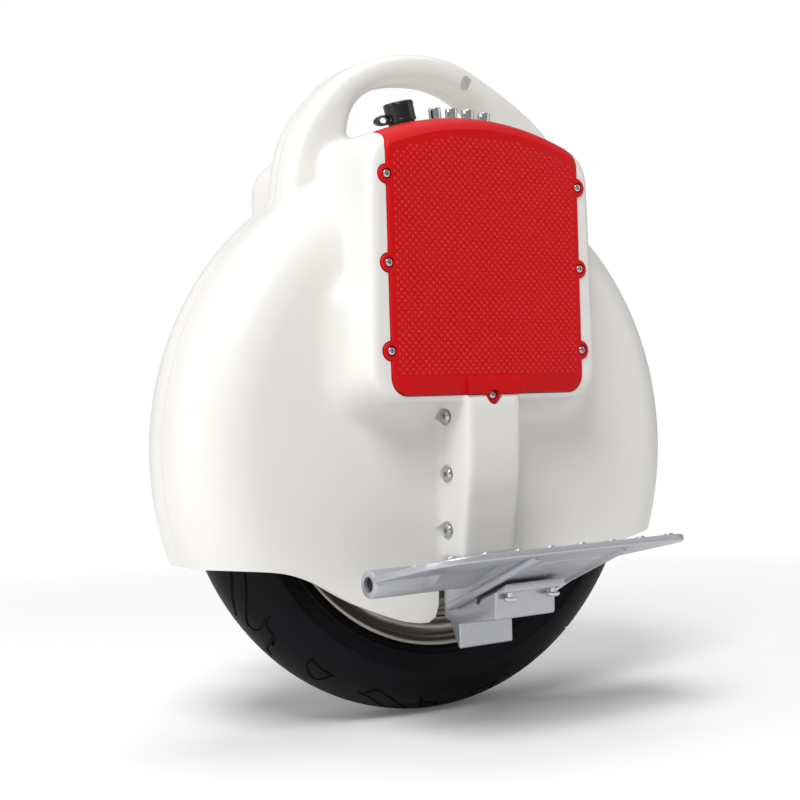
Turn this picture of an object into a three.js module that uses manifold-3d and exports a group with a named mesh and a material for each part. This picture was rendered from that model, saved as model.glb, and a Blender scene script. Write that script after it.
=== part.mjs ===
// A self-balancing electric unicycle: a hub-motor wheel inside a two-piece ivory shell with a
// carrying handle, red side covers, and a cast foot pedal that folds up on each side.
// Millimetres. +X is the direction of travel, +Z is up, and the origin lies on the ground
// under the axle. The right side is -Y; the left side is its mirror image.
import * as THREE from "three";
import { mergeVertices } from "three/addons/utils/BufferGeometryUtils.js";
import Module from "manifold-3d";

const wasm = await Module();
wasm.setup();

// ---- driving sizes -------------------------------------------------------------------------
const GAP = 0.3; // between pieces that touch
const FAR = 400; // reach of a cut that goes right through
const ROUND = 40; // sides of the large round pieces

// wheel
const tyreRadius = 178;
const tyreHeight = 44.3; // from the rim's lip to the crown
const tyreHalfWidth = 27.8;
const treadRadius = 27; // of the tyre's section
const tyreWall = 12;
const rimHalfWidth = 24;
const rimLip = 6.7; // height of the rim's lip over the bead seat
const rimDepth = 11.5; // from the bead seat in to the drum
const drumHalfWidth = 21;
const rimLipRadius = tyreRadius - tyreHeight;
const beadRadius = rimLipRadius - rimLip;
const drumRadius = beadRadius - rimDepth;
const magnetThickness = 5;
const magnetHalfWidth = 14;
const airGap = 0.8;
const statorHalfWidth = 13;
const statorTeeth = 18;
const statorToothHeight = 26;
const motorCoverThickness = 5;
const bearingOuterRadius = 17.5;
const bearingWidth = 9;
const axleRadius = 9;
const axleThreadRadius = 7;
const axleZ = tyreRadius;

// shell
const wall = 3.5;
const fenderClearance = 10.1;
const fenderDrop = 4; // of the mudguard's centre below the axle
const fenderRadius = tyreRadius + fenderClearance + wall;
const fenderZ = axleZ - fenderDrop;
const fenderHalfWidth = 48;
const fenderEdgeRadius = 38;
const seam = GAP / 2;

// box on each side of the shell, above the axle
const boxDepth = 27.5;
const boxFaceY = fenderHalfWidth + boxDepth;
const boxHalfTop = 87;
const boxHalfBottom = 89.5;
const boxBottomZ = axleZ + 25.5;
const boxCorner = 20;
const deckRise = 13.4; // of the deck over the mudguard
const deckRadius = fenderRadius + deckRise;
const pocketHalfWidth = 70;
const pocketBottomZ = boxBottomZ + 10.5;
const pocketCorner = 8;

// side cover
const coverFaceY = boxFaceY + 1.5;
const coverHalfWidth = 75.2;
const coverBottomZ = boxBottomZ + 4.5;
const coverThickness = 3;
const coverSeatY = coverFaceY - 4.7;
const coverRoll = 9.5; // drop of the lip from the deck to the front
const coverTopRadius = deckRadius - coverRoll;
const coverLipY = boxFaceY - 15.5;
const coverCorner = 12;
const coverEdge = 1.4;
const lugRadius = 5.6;
const coverScrewRadius = 2.7;
const coverScrewShank = 1.4;
const coverScrewLength = 11;
const coverScrewHead = 1.8;
const lugLowZ = coverBottomZ + 27.1;
const lugHighZ = axleZ + coverTopRadius - 31.9;
const lugs = [-1, 1].flatMap((side) =>
  [lugHighZ, (lugHighZ + lugLowZ) / 2, lugLowZ].map((z) => [side * (coverHalfWidth + 0.3), z]));
lugs.push([0, coverBottomZ - 0.6]);

// spine below the box, which hides the pedal hanger
const spineHalfWidth = 21.3;
const spineWall = 3.2;
const spineTop = axleZ + 30;
const spineBottom = axleZ - 75.5;
const spineFront = [[31, 30], [30.2, -8], [26, -38], [21.5, -67], [21, -75.5]]
  .map(([out, up]) => [fenderHalfWidth + out, axleZ + up]);
const spineScrews = [[7, 16.4], [7, -19.9], [5.6, -55.6]]
  .map(([out, up]) => [fenderHalfWidth + out, axleZ + up]);
const spineScrewHeadRadius = 4.3;
const spineScrewHead = 2.6;
const spineScrewRadius = 2.3;
const spineScrewLength = 18;

// handle, drawn in the XZ plane from the top of the deck: outer edge and hand hole
const deckTop = axleZ + deckRadius;
const aboveDeck = ([x, z]) => [x, deckTop + z];
const handleHalfWidth = 17.5;
const handleEdge = 6;
const handleCoreWall = 6;
const handleOuter = [[-110, -63], [-108.5, -43], [-102, -14], [-91, 5], [-72, 26.5], [-52, 39.5],
  [-27, 48.5], [0, 51.7], [27, 48.7], [57, 35.8], [83, 21], [105, 4], [119, -15], [125, -38],
  [126, -63]].map(aboveDeck);
const handHole = [[66, -63], [64.5, -11], [62, -1], [56, 10.5], [44, 21.5], [26, 30], [6, 33],
  [-14, 32], [-32, 27.5], [-46, 20], [-56, 11], [-60, 2], [-61.5, -13], [-63, -63]].map(aboveDeck);
const handleScrew = aboveDeck([32, 35]);
const handleScrewRadius = 4.7;

// hanger and pedal
const hangerHalfWidth = 21;
const footHalfWidth = 23.4;
const uprightHalfWidth = 17.5;
const uprightInnerY = fenderHalfWidth + 0.6;
const uprightThickness = 16.9;
const uprightOuterY = uprightInnerY + uprightThickness;
const uprightTopZ = axleZ + 23;
const uprightLowZ = axleZ - 100;
const hingeY = fenderHalfWidth + 30;
const hingeZ = axleZ - 80.6;
const barrelRadius = 8.5;
const barrelFront = 46; // how far the hinge's barrel runs forward; to the rear it runs the full length
const barrelWall = 3.75;
const barrelBore = barrelRadius - barrelWall;
const pinRadius = barrelBore - GAP;
const pedalTilt = 12.5;
const pedalHalfLength = 98;
const pedalReach = 82;
const pedalCorner = 28;
const plateThickness = 4.2;
const plateTop = 4.1; // top of the plate above the hinge axis
const studRadius = 2.6;
const studHeight = 1.8;
const studPitch = [27, 22];
const cheekInner = footHalfWidth + 1.2;
const cheekThickness = 3.6;
const cheekFront = cheekInner + 13.4; // inner face of the cheek on the forward side
const footReach = 36; // out from the hinge
const bellyInner = -22.7; // out from the hinge, where the belly is lowest
const bellyLow = 26.2; // below the hinge
const bellyOuter = pedalReach - 8; // where the belly meets the plate
const bellyHigh = bellyOuter * Math.tan(THREE.MathUtils.degToRad(pedalTilt)) - 0.5;
const bellySlope = (bellyHigh + bellyLow) / (bellyOuter - bellyInner);
const bellyThickness = 3;
const adjusterX = 16.6;
const adjusterY = hingeY + 31;
const adjusterRadius = 1.9;
const adjusterHeadRadius = 4.5;
const adjusterHead = 2.4;

// fittings on the deck
const deckRowY = coverLipY - 10.5;
const portX = -44.5;
const portRadius = 8.5;
const capRadius = 9.6;
const capHeight = 12.5;
const ledX = [-18.5, -5.8, 6.9, 19.6];
const ledRadius = 4;
const ledHeight = 8;
const buttonX = 50;
const buttonRadius = 7;
const bezelTop = 2;
const buttonTravel = 1.5;

// electronics
const batterySize = [2 * (pocketHalfWidth - pocketCorner), boxDepth - 9, 112];
const boardSize = [2 * (pocketHalfWidth - pocketCorner) - 4, 1.6, 96];
const heatsinkSize = [2 * (pocketHalfWidth - pocketCorner), boxDepth - 15.5, 100];
const heatsinkFins = 8;

// ---- finishes ------------------------------------------------------------------------------
const finish = (color, roughness, metalness) =>
  new THREE.MeshStandardMaterial({ color, roughness, metalness });
const ivory = finish(0xf1eee8, 0.35, 0);
const red = finish(0xcf0a12, 0.4, 0);
const castAlloy = finish(0xaaacb4, 0.45, 0.8);
const rubber = finish(0x16181d, 0.75, 0);
const blackRubber = finish(0x0d0d0f, 0.45, 0);
const steel = finish(0x77706a, 0.35, 0.9);
const zinc = finish(0xb8b8ba, 0.3, 1);
const chrome = finish(0xd8d8d8, 0.1, 1);
const copper = finish(0xa8623a, 0.45, 0.8);
const magnetic = finish(0x3a3a3c, 0.5, 0.7);
const blueWrap = finish(0x1d4f9c, 0.4, 0);
const boardGreen = finish(0x1f5a34, 0.5, 0);
const alloy = finish(0x9a9ca0, 0.5, 0.9);

// ---- makers --------------------------------------------------------------------------------
// A manifold solid from a closed three.js geometry.
function solid(geometry) {
  const plain = geometry.index ? geometry.toNonIndexed() : geometry.clone();
  plain.deleteAttribute("normal");
  plain.deleteAttribute("uv");
  const merged = mergeVertices(plain, 1e-4);
  return new wasm.Manifold(new wasm.Mesh({
    numProp: 3,
    vertProperties: new Float32Array(merged.attributes.position.array),
    triVerts: new Uint32Array(merged.index.array),
  }));
}

// The three.js geometry of a manifold solid.
function geometryOf(body) {
  const mesh = body.getMesh();
  const geometry = new THREE.BufferGeometry();
  geometry.setAttribute("position", new THREE.BufferAttribute(mesh.vertProperties, 3));
  geometry.setIndex(new THREE.BufferAttribute(mesh.triVerts, 1));
  geometry.computeVertexNormals();
  return geometry;
}

const joined = (...bodies) => bodies.reduce((sum, body) => sum.add(body));
const cut = (body, ...tools) => tools.reduce((rest, tool) => rest.subtract(tool), body);

function part(name, shape, material) {
  const mesh = new THREE.Mesh(shape instanceof THREE.BufferGeometry ? shape : geometryOf(shape), material);
  mesh.name = name;
  return mesh;
}

// A box from its lowest to its highest corner.
function block(low, high) {
  const size = high.map((value, axis) => value - low[axis]);
  const centre = high.map((value, axis) => (value + low[axis]) / 2);
  return solid(new THREE.BoxGeometry(...size).translate(...centre));
}

// A solid of revolution about the wheel's axis, from [radius, y] points with y rising.
function turned(points, steps = ROUND, centreZ = axleZ) {
  const profile = points.map(([radius, y]) => new THREE.Vector2(radius, y));
  return solid(new THREE.LatheGeometry(profile, steps).translate(0, 0, centreZ));
}

// A ring about the wheel's axis, from a closed [radius, y] outline.
const ring = (points, steps = ROUND) => turned([...points, points[0]], steps);

// A round bar along axis 0, 1 or 2, centred at a point.
function bar(axis, radius, length, [x, y, z], sides = 16) {
  const geometry = new THREE.CylinderGeometry(radius, radius, length, sides);
  if (axis === 0) geometry.rotateZ(Math.PI / 2);
  if (axis === 2) geometry.rotateX(Math.PI / 2);
  return solid(geometry.translate(x, y, z));
}

// A side view, [x, z] points, given a thickness from y = -near to y = -far.
function sideSlab(points, near, far, bevel = 0) {
  const shape = new THREE.Shape(points.map(([x, z]) => new THREE.Vector2(x, z)));
  const geometry = new THREE.ExtrudeGeometry(shape, {
    depth: far - near - 2 * bevel, bevelEnabled: bevel > 0, bevelThickness: bevel,
    bevelSize: bevel, bevelOffset: -bevel, bevelSegments: 2,
  });
  return solid(geometry.translate(0, 0, near + bevel).rotateX(Math.PI / 2));
}

// A view along the travel direction, [distance out to the right, z] points, from x = -half to half.
function crossSlab(points, halfWidth, centreX = 0) {
  const shape = new THREE.Shape(points.map(([out, z]) => new THREE.Vector2(-out, z)));
  const geometry = new THREE.ExtrudeGeometry(shape, { depth: 2 * halfWidth, bevelEnabled: false });
  const turn = new THREE.Matrix4().makeBasis(
    new THREE.Vector3(0, 1, 0), new THREE.Vector3(0, 0, 1), new THREE.Vector3(1, 0, 0));
  return solid(geometry.translate(0, 0, -halfWidth).applyMatrix4(turn).translate(centreX, 0, 0));
}

// A closed skin through [x, z] outlines with equal numbers of points, each at its own y.
function loft(sections) {
  const count = sections[0].outline.length;
  const positions = [];
  const index = [];
  for (const { outline, y } of sections) for (const [x, z] of outline) positions.push(x, y, z);
  for (let s = 0; s + 1 < sections.length; s++) {
    for (let i = 0; i < count; i++) {
      const [a, b] = [s * count + i, s * count + ((i + 1) % count)];
      index.push(a, b, a + count, b, b + count, a + count);
    }
  }
  const cap = THREE.ShapeUtils.triangulateShape(
    sections[0].outline.map(([x, z]) => new THREE.Vector2(x, z)), []);
  const last = (sections.length - 1) * count;
  for (const [a, b, c] of cap) index.push(a, c, b, last + a, last + b, last + c);
  const geometry = new THREE.BufferGeometry();
  geometry.setAttribute("position", new THREE.Float32BufferAttribute(positions, 3));
  geometry.setIndex(index);
  return solid(geometry);
}

const smooth = (points, steps) =>
  new THREE.SplineCurve(points.map(([x, z]) => new THREE.Vector2(x, z)))
    .getPoints(steps).map((p) => [p.x, p.y]);

// An arc of [x, z] points about a centre, angles in degrees.
function arc(centreX, centreZ, radius, from, to, steps) {
  return Array.from({ length: steps + 1 }, (_, i) => {
    const angle = THREE.MathUtils.degToRad(from + ((to - from) * i) / steps);
    return [centreX + radius * Math.cos(angle), centreZ + radius * Math.sin(angle)];
  });
}

// A clockwise outline moved inwards by a distance.
function inset(points, distance) {
  return points.map((_, i) => {
    const [before, after] = [points.at(i - 1), points[(i + 1) % points.length]];
    const [dx, dz] = [after[0] - before[0], after[1] - before[1]];
    const length = Math.hypot(dx, dz);
    return [points[i][0] + (dz / length) * distance, points[i][1] - (dx / length) * distance];
  });
}

// The box's outline: sides with a slight draft, rounded corners and a top that follows the deck.
function boxOutline({ halfTop, halfBottom, bottom, top, corner, topCorner = corner }) {
  const crown = Math.asin((halfTop - topCorner) / (top - topCorner));
  const lean = THREE.MathUtils.radToDeg(crown);
  const cornerX = (top - topCorner) * Math.sin(crown);
  const cornerZ = axleZ + (top - topCorner) * Math.cos(crown);
  return [
    ...arc(-halfBottom + corner, bottom + corner, corner, 180, 270, 4),
    ...arc(halfBottom - corner, bottom + corner, corner, 270, 360, 4),
    ...arc(cornerX, cornerZ, topCorner, 0, 90 - lean, 3),
    ...arc(0, axleZ, top, 90 - lean, 90 + lean, 8).slice(1, -1),
    ...arc(-cornerX, cornerZ, topCorner, 90 + lean, 180, 3),
  ];
}

const group = new THREE.Group();
const sides = ["right", "left"].map((name) => {
  const half = new THREE.Group();
  if (name === "left") half.scale.y = -1;
  group.add(half);
  return { name, half };
});
// Puts a piece of the right side, and its mirrored twin, into the model.
function onBothSides(name, shape, material, number = "") {
  const geometry = shape instanceof THREE.BufferGeometry ? shape : geometryOf(shape);
  for (const side of sides) side.half.add(part(`${name}_${side.name}${number}`, geometry, material));
}

// ---- side cover ----------------------------------------------------------------------------
const coverOutline = (top, grow, shrink = 0) => boxOutline({
  halfTop: coverHalfWidth + grow - shrink, halfBottom: coverHalfWidth + grow - shrink,
  bottom: coverBottomZ - grow + shrink, top: top + grow, corner: coverCorner, topCorner: 6,
});
// The cover, or with a growth the space it needs: a front plate, a top lip that rolls back over
// the deck's edge, round lugs for the screws, and a raised tab that meets the spine.
function coverBody(grow) {
  const reach = grow ? 6 : 0;
  const roll = [[17, 0], [11, 0.8], [6, 3.2], [2.5, 6.4], [0, coverRoll]]
    .map(([behindFace, drop]) => [coverFaceY - behindFace, deckRadius - drop]);
  const whole = loft(roll.map(([y, top], i) =>
    ({ outline: coverOutline(top, grow, i === roll.length - 1 ? coverEdge : 0), y: -y + (i ? 0 : grow) })));
  const under = [[coverLipY - 5, 0], [coverLipY + 4, 0.8], [coverLipY + 8, 2.8], [coverSeatY - grow, 6.5]];
  const behind = loft(under.map(([y, drop]) => ({
    outline: boxOutline({
      halfTop: coverHalfWidth + 5, halfBottom: coverHalfWidth + 5, bottom: coverBottomZ - 8,
      top: deckRadius - coverThickness - drop - grow, corner: coverCorner, topCorner: 6,
    }), y: -y,
  })));
  const plate = cut(whole, behind);
  const ears = lugs.map(([x, z]) =>
    bar(1, lugRadius + grow, coverFaceY - coverSeatY + grow + reach,
      [x, -(coverSeatY - grow + coverFaceY + reach) / 2, z], 14));
  const tab = crossSlab([
    [coverSeatY - grow, coverBottomZ - grow], [coverFaceY + 2 + reach, coverBottomZ - grow],
    [coverFaceY + 2 + reach, coverBottomZ + 8], [coverFaceY - 0.5, coverBottomZ + 12],
    [coverSeatY - grow, coverBottomZ + 12],
  ], spineHalfWidth - 1 + grow);
  return joined(plate, ...ears, tab);
}
const hollowBehind = sideSlab(boxOutline({
  halfTop: pocketHalfWidth - 1, halfBottom: pocketHalfWidth - 1, bottom: pocketBottomZ + 3,
  top: coverTopRadius - 5, corner: 8, topCorner: 6,
}), coverLipY - 5, coverFaceY - coverThickness);
const lugHoles = (radius, deep, shallow) =>
  lugs.map(([x, z]) => bar(1, radius, deep - shallow, [x, -(deep + shallow) / 2, z], 8));
const coverScrewSeatY = coverFaceY - 2;
const cover = cut(coverBody(0), hollowBehind,
  ...lugHoles(coverScrewShank + 0.4, coverFaceY + 13, coverSeatY - 22),
  ...lugHoles(coverScrewRadius + 0.5, coverFaceY + 13, coverScrewSeatY));
onBothSides("side_cover", cover, red);

lugs.forEach(([x, z], i) => {
  const headY = coverScrewSeatY + GAP;
  const head = bar(1, coverScrewRadius, coverScrewHead, [x, -(headY + coverScrewHead / 2), z], 10);
  const shank = bar(1, coverScrewShank, coverScrewLength, [x, -(headY + 0.2 - coverScrewLength / 2), z], 6);
  onBothSides("cover_screw", joined(head, shank), zinc, `_${i + 1}`);
});

// ---- shell ---------------------------------------------------------------------------------
const edgeArc = (outer, halfWidth, radius, steps) =>
  arc(outer - radius, halfWidth - radius, radius, 0, 90, steps).map(([r, y]) => [r, y]);
const mirroredY = (points) => points.map(([r, y]) => [r, -y]).reverse();
const fenderSection = edgeArc(fenderRadius, fenderHalfWidth, fenderEdgeRadius, 4);
const disc = turned([[0, -fenderHalfWidth], ...mirroredY(fenderSection), [fenderRadius, 0], [0, 0]],
  ROUND, fenderZ);
const wellSection = edgeArc(fenderRadius - wall, fenderHalfWidth - wall, fenderEdgeRadius - wall, 3);
const well = turned([
  [0, -fenderHalfWidth + wall], ...mirroredY(wellSection), [fenderRadius - wall, 1], [0, 1]],
  ROUND, fenderZ);

const boxAt = (shrink, behindFace, drop = 0) => ({
  outline: boxOutline({
    halfTop: boxHalfTop - shrink, halfBottom: boxHalfBottom - shrink, bottom: boxBottomZ + shrink,
    top: deckRadius - drop, corner: boxCorner,
  }), y: behindFace - boxFaceY,
});
const box = loft([boxAt(0, boxFaceY), boxAt(0, boxFaceY - coverLipY), boxAt(0, 7.5, 2), boxAt(1.2, 2.5, 5),
  boxAt(3.6, 0, 9)]);
// The fillet where the box grows out of the fender's flat side.
const rootDrop = 73; // of the fillet's top below the deck
const rootAt = (spread, beyondFender) => ({
  outline: boxOutline({
    halfTop: boxHalfBottom + spread, halfBottom: boxHalfBottom + spread,
    bottom: boxBottomZ - spread * 0.7, top: deckRadius - rootDrop + spread * 0.4,
    corner: boxCorner + spread * 0.5, topCorner: 34,
  }), y: -(fenderHalfWidth + beyondFender),
});
const root = loft([[19, -8], [19, 0.6], [12, 2.5], [6, 7], [2, 13], [-1, 22]].map((at) => rootAt(...at)));

const spine = crossSlab(
  [[fenderHalfWidth - 8, spineTop], ...spineFront, [fenderHalfWidth - 8, spineBottom]], spineHalfWidth);
const hollowTop = uprightTopZ + 1.5;
const spineHollow = crossSlab([
  [fenderHalfWidth + GAP, hollowTop], [spineFront[0][0] - spineWall, hollowTop],
  ...spineFront.slice(1).map(([out, z]) => [out - spineWall, z]),
  [spineFront.at(-1)[0] - spineWall, spineBottom - 9], [fenderHalfWidth + GAP, spineBottom - 9]],
  spineHalfWidth - spineWall);

const handleOutline = [...smooth(handleOuter, 20), ...smooth(handHole, 16)];
const handle = sideSlab(handleOutline, -handleHalfWidth, handleHalfWidth, handleEdge);
const handleCore = sideSlab(inset(handleOutline, handleCoreWall), -1, handleHalfWidth - handleCoreWall);

// The lower edge of the shell, from the middle outwards: round the hanger, then rising to the ends.
const hem = [
  [footHalfWidth + 1.6, -76], [footHalfWidth + 2.2, -100], [29, -110.5], [34, -113.5], [56, -109.5],
  [85, -98], [99, -91], [120, -78.8], [140, -72.2], [158, -69.9], [172, -69.5], [FAR, -69.3]]
  .map(([x, up]) => [x, axleZ + up]);
const below = [...hem, [FAR, -10], [-FAR, -10], ...hem.map(([x, z]) => [-x, z]).reverse()];

const pocket = sideSlab(boxOutline({
  halfTop: pocketHalfWidth, halfBottom: pocketHalfWidth, bottom: pocketBottomZ,
  top: deckRadius - 7, corner: pocketCorner, topCorner: 6,
}), fenderHalfWidth + wall, coverFaceY + 13);
const deckLean = (x) => Math.asin(x / deckRadius);
const deckZ = (x) => axleZ + deckRadius * Math.cos(deckLean(x));
// A fitting's body, made upright about the Z axis with its seat at z = 0, stood on the deck.
function onDeck(x, body) {
  const geometry = geometryOf(body).rotateY(deckLean(x));
  return geometry.translate(x, -deckRowY, deckZ(x));
}
const deckHole = (x, radius) => solid(onDeck(x, bar(2, radius, 40, [0, 0, 0], 20)));
const spineHoles = spineScrews.map(([out, z]) => bar(0, spineScrewRadius + GAP, 32, [-17, -out, z], 10));
const spineRecesses = spineScrews.map(([out, z]) =>
  bar(0, spineScrewHeadRadius + 1.4, 3, [-spineHalfWidth - 0.3, -out, z], 16));
const keep = block([-FAR, -FAR, -10], [FAR, -seam, 2 * FAR]);
const outer = joined(disc, box, root, spine, handle).intersect(keep);
const shell = cut(outer, well, sideSlab(below, -5, FAR), pocket, spineHollow, coverBody(GAP),
  handleCore, bar(1, axleRadius + 3, 20, [0, -fenderHalfWidth, axleZ], 24),
  bar(1, handleScrewRadius, 14, [handleScrew[0], -handleHalfWidth - 1, handleScrew[1]], 16),
  ...spineHoles, ...spineRecesses, ...lugHoles(coverScrewShank + GAP, coverFaceY + 13, coverSeatY - 10));
const shellRight = cut(shell, deckHole(portX, portRadius + GAP), deckHole(buttonX, buttonRadius + GAP),
  ...ledX.map((x) => deckHole(x, ledRadius - 1 + GAP)));
const [rightHalf, leftHalf] = sides.map(({ half }) => half);
rightHalf.add(part("shell_right", shellRight, ivory));
leftHalf.add(part("shell_left", shell, ivory));

// ---- wheel ---------------------------------------------------------------------------------
const tread = arc(tyreRadius - treadRadius, 0, treadRadius, -78, 78, 8)
  .map(([r, y]) => [r, y * (tyreHalfWidth / treadRadius)]);
const beadHalf = rimHalfWidth - 3;
const tyre = ring([[beadRadius + GAP, -beadHalf + 1], [rimLipRadius + GAP, -beadHalf + 0.5],
  [rimLipRadius + 3, -beadHalf - 2], ...tread, [rimLipRadius + 3, beadHalf + 2],
  [rimLipRadius + GAP, beadHalf - 0.5], [beadRadius + GAP, beadHalf - 1], [beadRadius + 5, beadHalf - 5],
  [tyreRadius - tyreWall, 14], [tyreRadius - tyreWall, -14], [beadRadius + 5, -beadHalf + 5]]);
group.add(part("tyre", tyre, rubber));

const rimSide = [[rimLipRadius, rimHalfWidth - 2.6], [rimLipRadius, rimHalfWidth],
  [rimLipRadius - 3, rimHalfWidth], [rimLipRadius - 5, drumHalfWidth - 3],
  [drumRadius + 6, drumHalfWidth - 3], [drumRadius + 4, drumHalfWidth], [drumRadius, drumHalfWidth]];
const rimWell = [[drumRadius + 5, -12], [beadRadius, -beadHalf + 3], [beadRadius, -beadHalf],
  [beadRadius + 2, -rimHalfWidth + 2.6]];
const rim = ring([...mirroredY(rimSide), ...[...rimWell].reverse(),
  ...mirroredY([...rimWell].reverse()), ...rimSide]);
group.add(part("rim", rim, steel));

const magnetOuter = drumRadius - GAP;
const magnetInner = magnetOuter - magnetThickness;
const square = (inner, outerR, half) => [[inner, -half], [outerR, -half], [outerR, half], [inner, half]];
group.add(part("magnet_ring", ring(square(magnetInner, magnetOuter, magnetHalfWidth)), magnetic));

const statorRadius = magnetInner - airGap;
const teeth = Array.from({ length: statorTeeth }, (_, i) => {
  const pitch = 360 / statorTeeth;
  return [
    ...arc(0, axleZ, statorRadius, i * pitch, (i + 0.78) * pitch, 3),
    ...arc(0, axleZ, statorRadius - statorToothHeight, (i + 0.7) * pitch, (i + 1.08) * pitch, 1),
  ];
}).flat();
const stator = cut(sideSlab(teeth, -statorHalfWidth, statorHalfWidth),
  bar(1, axleRadius + GAP, 60, [0, 0, axleZ], 24));
group.add(part("stator", stator, copper));

const motorCover = ring([[bearingOuterRadius + GAP, drumHalfWidth - 6.5],
  [bearingOuterRadius + 6, drumHalfWidth - 6.5],
  [bearingOuterRadius + 8, drumHalfWidth - motorCoverThickness + 1],
  [drumRadius - GAP, drumHalfWidth - motorCoverThickness], [drumRadius - GAP, drumHalfWidth],
  [drumRadius - 12, drumHalfWidth + 1.5], [bearingOuterRadius + 12, drumHalfWidth + 3],
  [bearingOuterRadius + 6, drumHalfWidth + 5], [bearingOuterRadius + GAP, drumHalfWidth + 5]]
  .map(([r, y]) => [r, -y]).reverse());
onBothSides("motor_cover", motorCover, steel);
const bearing = ring(square(axleRadius + GAP, bearingOuterRadius, bearingWidth / 2)
  .map(([r, y]) => [r, y - drumHalfWidth + 1]), 24);
onBothSides("wheel_bearing", bearing, zinc);

const axleEnd = uprightOuterY + 8;
const axle = turned([[0, -axleEnd], [axleThreadRadius, -axleEnd], [axleThreadRadius, -uprightOuterY],
  [axleRadius, -uprightOuterY], [axleRadius, uprightOuterY], [axleThreadRadius, uprightOuterY],
  [axleThreadRadius, axleEnd], [0, axleEnd]], 16);
group.add(part("axle", axle, zinc));
const nutThickness = 6.5;
const nutY = uprightOuterY + GAP + nutThickness / 2;
const nut = cut(bar(1, axleThreadRadius + 4.5, nutThickness, [0, -nutY, axleZ], 6),
  bar(1, axleThreadRadius + GAP, 20, [0, -uprightOuterY - 4, axleZ], 16));
onBothSides("axle_nut", nut, zinc);

// ---- hanger --------------------------------------------------------------------------------
// Points given outwards and upwards from the hinge's axis.
const fromHinge = (points) => points.map(([out, up]) => [hingeY + out, hingeZ + up]);
const lowBlock = crossSlab(
  fromHinge([[-14.5, -48.9], [-14.5, -17.4], [-32, -17.4], [-32, -20.4], [-17, -48.9]]), hangerHalfWidth);
const upright = crossSlab([[uprightOuterY, uprightLowZ], [uprightOuterY, uprightTopZ],
  [uprightInnerY, uprightTopZ], [uprightInnerY, uprightLowZ]], uprightHalfWidth);
// The foot that carries the pedal, its top just under the slope of the pedal's belly.
const bellyAt = (out) => -bellyLow + (out - bellyInner) * bellySlope;
const footTop = (out) => bellyAt(out) - 1;
const foot = crossSlab(fromHinge([
  [-28, -31.4], [-14, -33.1], [25.5, -26.4], [26, -10.4], [footReach, -9.1],
  [footReach, footTop(footReach)], [9, footTop(9)], [7, footTop(6) - 2], [-6, -14], [-18, 1.6], [-28, 1.6]]), footHalfWidth);
const lug = bar(0, barrelRadius, 2 * footHalfWidth, [0, -hingeY, hingeZ]);
const lugWeb = crossSlab(fromHinge([[-20, -23.4], [6, -17.4], [6, 0], [-20, 1.6]]), footHalfWidth);
const adjusterHoles = [-1, 1].map((side) =>
  bar(2, adjusterRadius + GAP, 40, [side * adjusterX, -adjusterY, hingeZ - 5.4], 10));
const hanger = cut(joined(lowBlock, upright, foot, lugWeb, lug),
  bar(0, barrelBore, 80, [0, -hingeY, hingeZ]), ...adjusterHoles,
  bar(1, axleRadius + GAP, 40, [0, -uprightOuterY, axleZ]), ...spineHoles);
onBothSides("hanger", hanger, castAlloy);

spineScrews.forEach(([out, z], i) => {
  const headX = -spineHalfWidth + 1.2 - GAP; // the head's seat
  const head = bar(0, spineScrewHeadRadius, spineScrewHead, [headX - spineScrewHead / 2, -out, z], 16);
  const shankX = headX + spineScrewLength / 2 - 0.2;
  const shank = bar(0, spineScrewRadius, spineScrewLength, [shankX, -out, z], 10);
  onBothSides("shell_screw", joined(head, shank), zinc, `_${i + 1}`);
});

// ---- pedal ---------------------------------------------------------------------------------
// Modelled level, with the hinge axis at the origin and the tread plate reaching out along -Y,
// then tilted up about the hinge.
const atHinge = (geometry) =>
  geometry.rotateX(-THREE.MathUtils.degToRad(pedalTilt)).translate(0, -hingeY, hingeZ);
const [cornerX, cornerY] = [pedalHalfLength - pedalCorner, pedalReach - pedalCorner];
const plateShape = new THREE.Shape([
  [-pedalHalfLength, 0], ...arc(-cornerX, -cornerY, pedalCorner, 180, 270, 5),
  ...arc(cornerX, -cornerY, pedalCorner, 270, 360, 5), [pedalHalfLength, 0],
].map(([x, y]) => new THREE.Vector2(x, y)));
const plate = solid(new THREE.ExtrudeGeometry(plateShape, {
  depth: plateThickness - 1.6, bevelEnabled: true, bevelThickness: 0.8, bevelSize: 0.8, bevelOffset: -0.8,
  bevelSegments: 1,
}).translate(0, 0, plateTop - plateThickness + 0.8));
const barrels = [[-pedalHalfLength, -cheekInner], [cheekInner, barrelFront]].map(([from, to]) =>
  bar(0, barrelRadius, to - from, [(from + to) / 2, 0, 0]));
const studs = [];
for (let row = 0; row < 3; row++) {
  const count = row % 2 ? 7 : 6;
  for (let i = 0; i < count; i++) {
    const [x, y] = [(i - (count - 1) / 2) * studPitch[0], -17 - row * studPitch[1]];
    const [beyondX, beyondY] = [Math.max(Math.abs(x) - cornerX, 0), Math.max(-y - cornerY, 0)];
    if (Math.hypot(beyondX, beyondY) < pedalCorner - studRadius - 2)
      studs.push(bar(2, studRadius, studHeight + 1, [x, y, plateTop + studHeight / 2 - 0.5], 6));
  }
}
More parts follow.
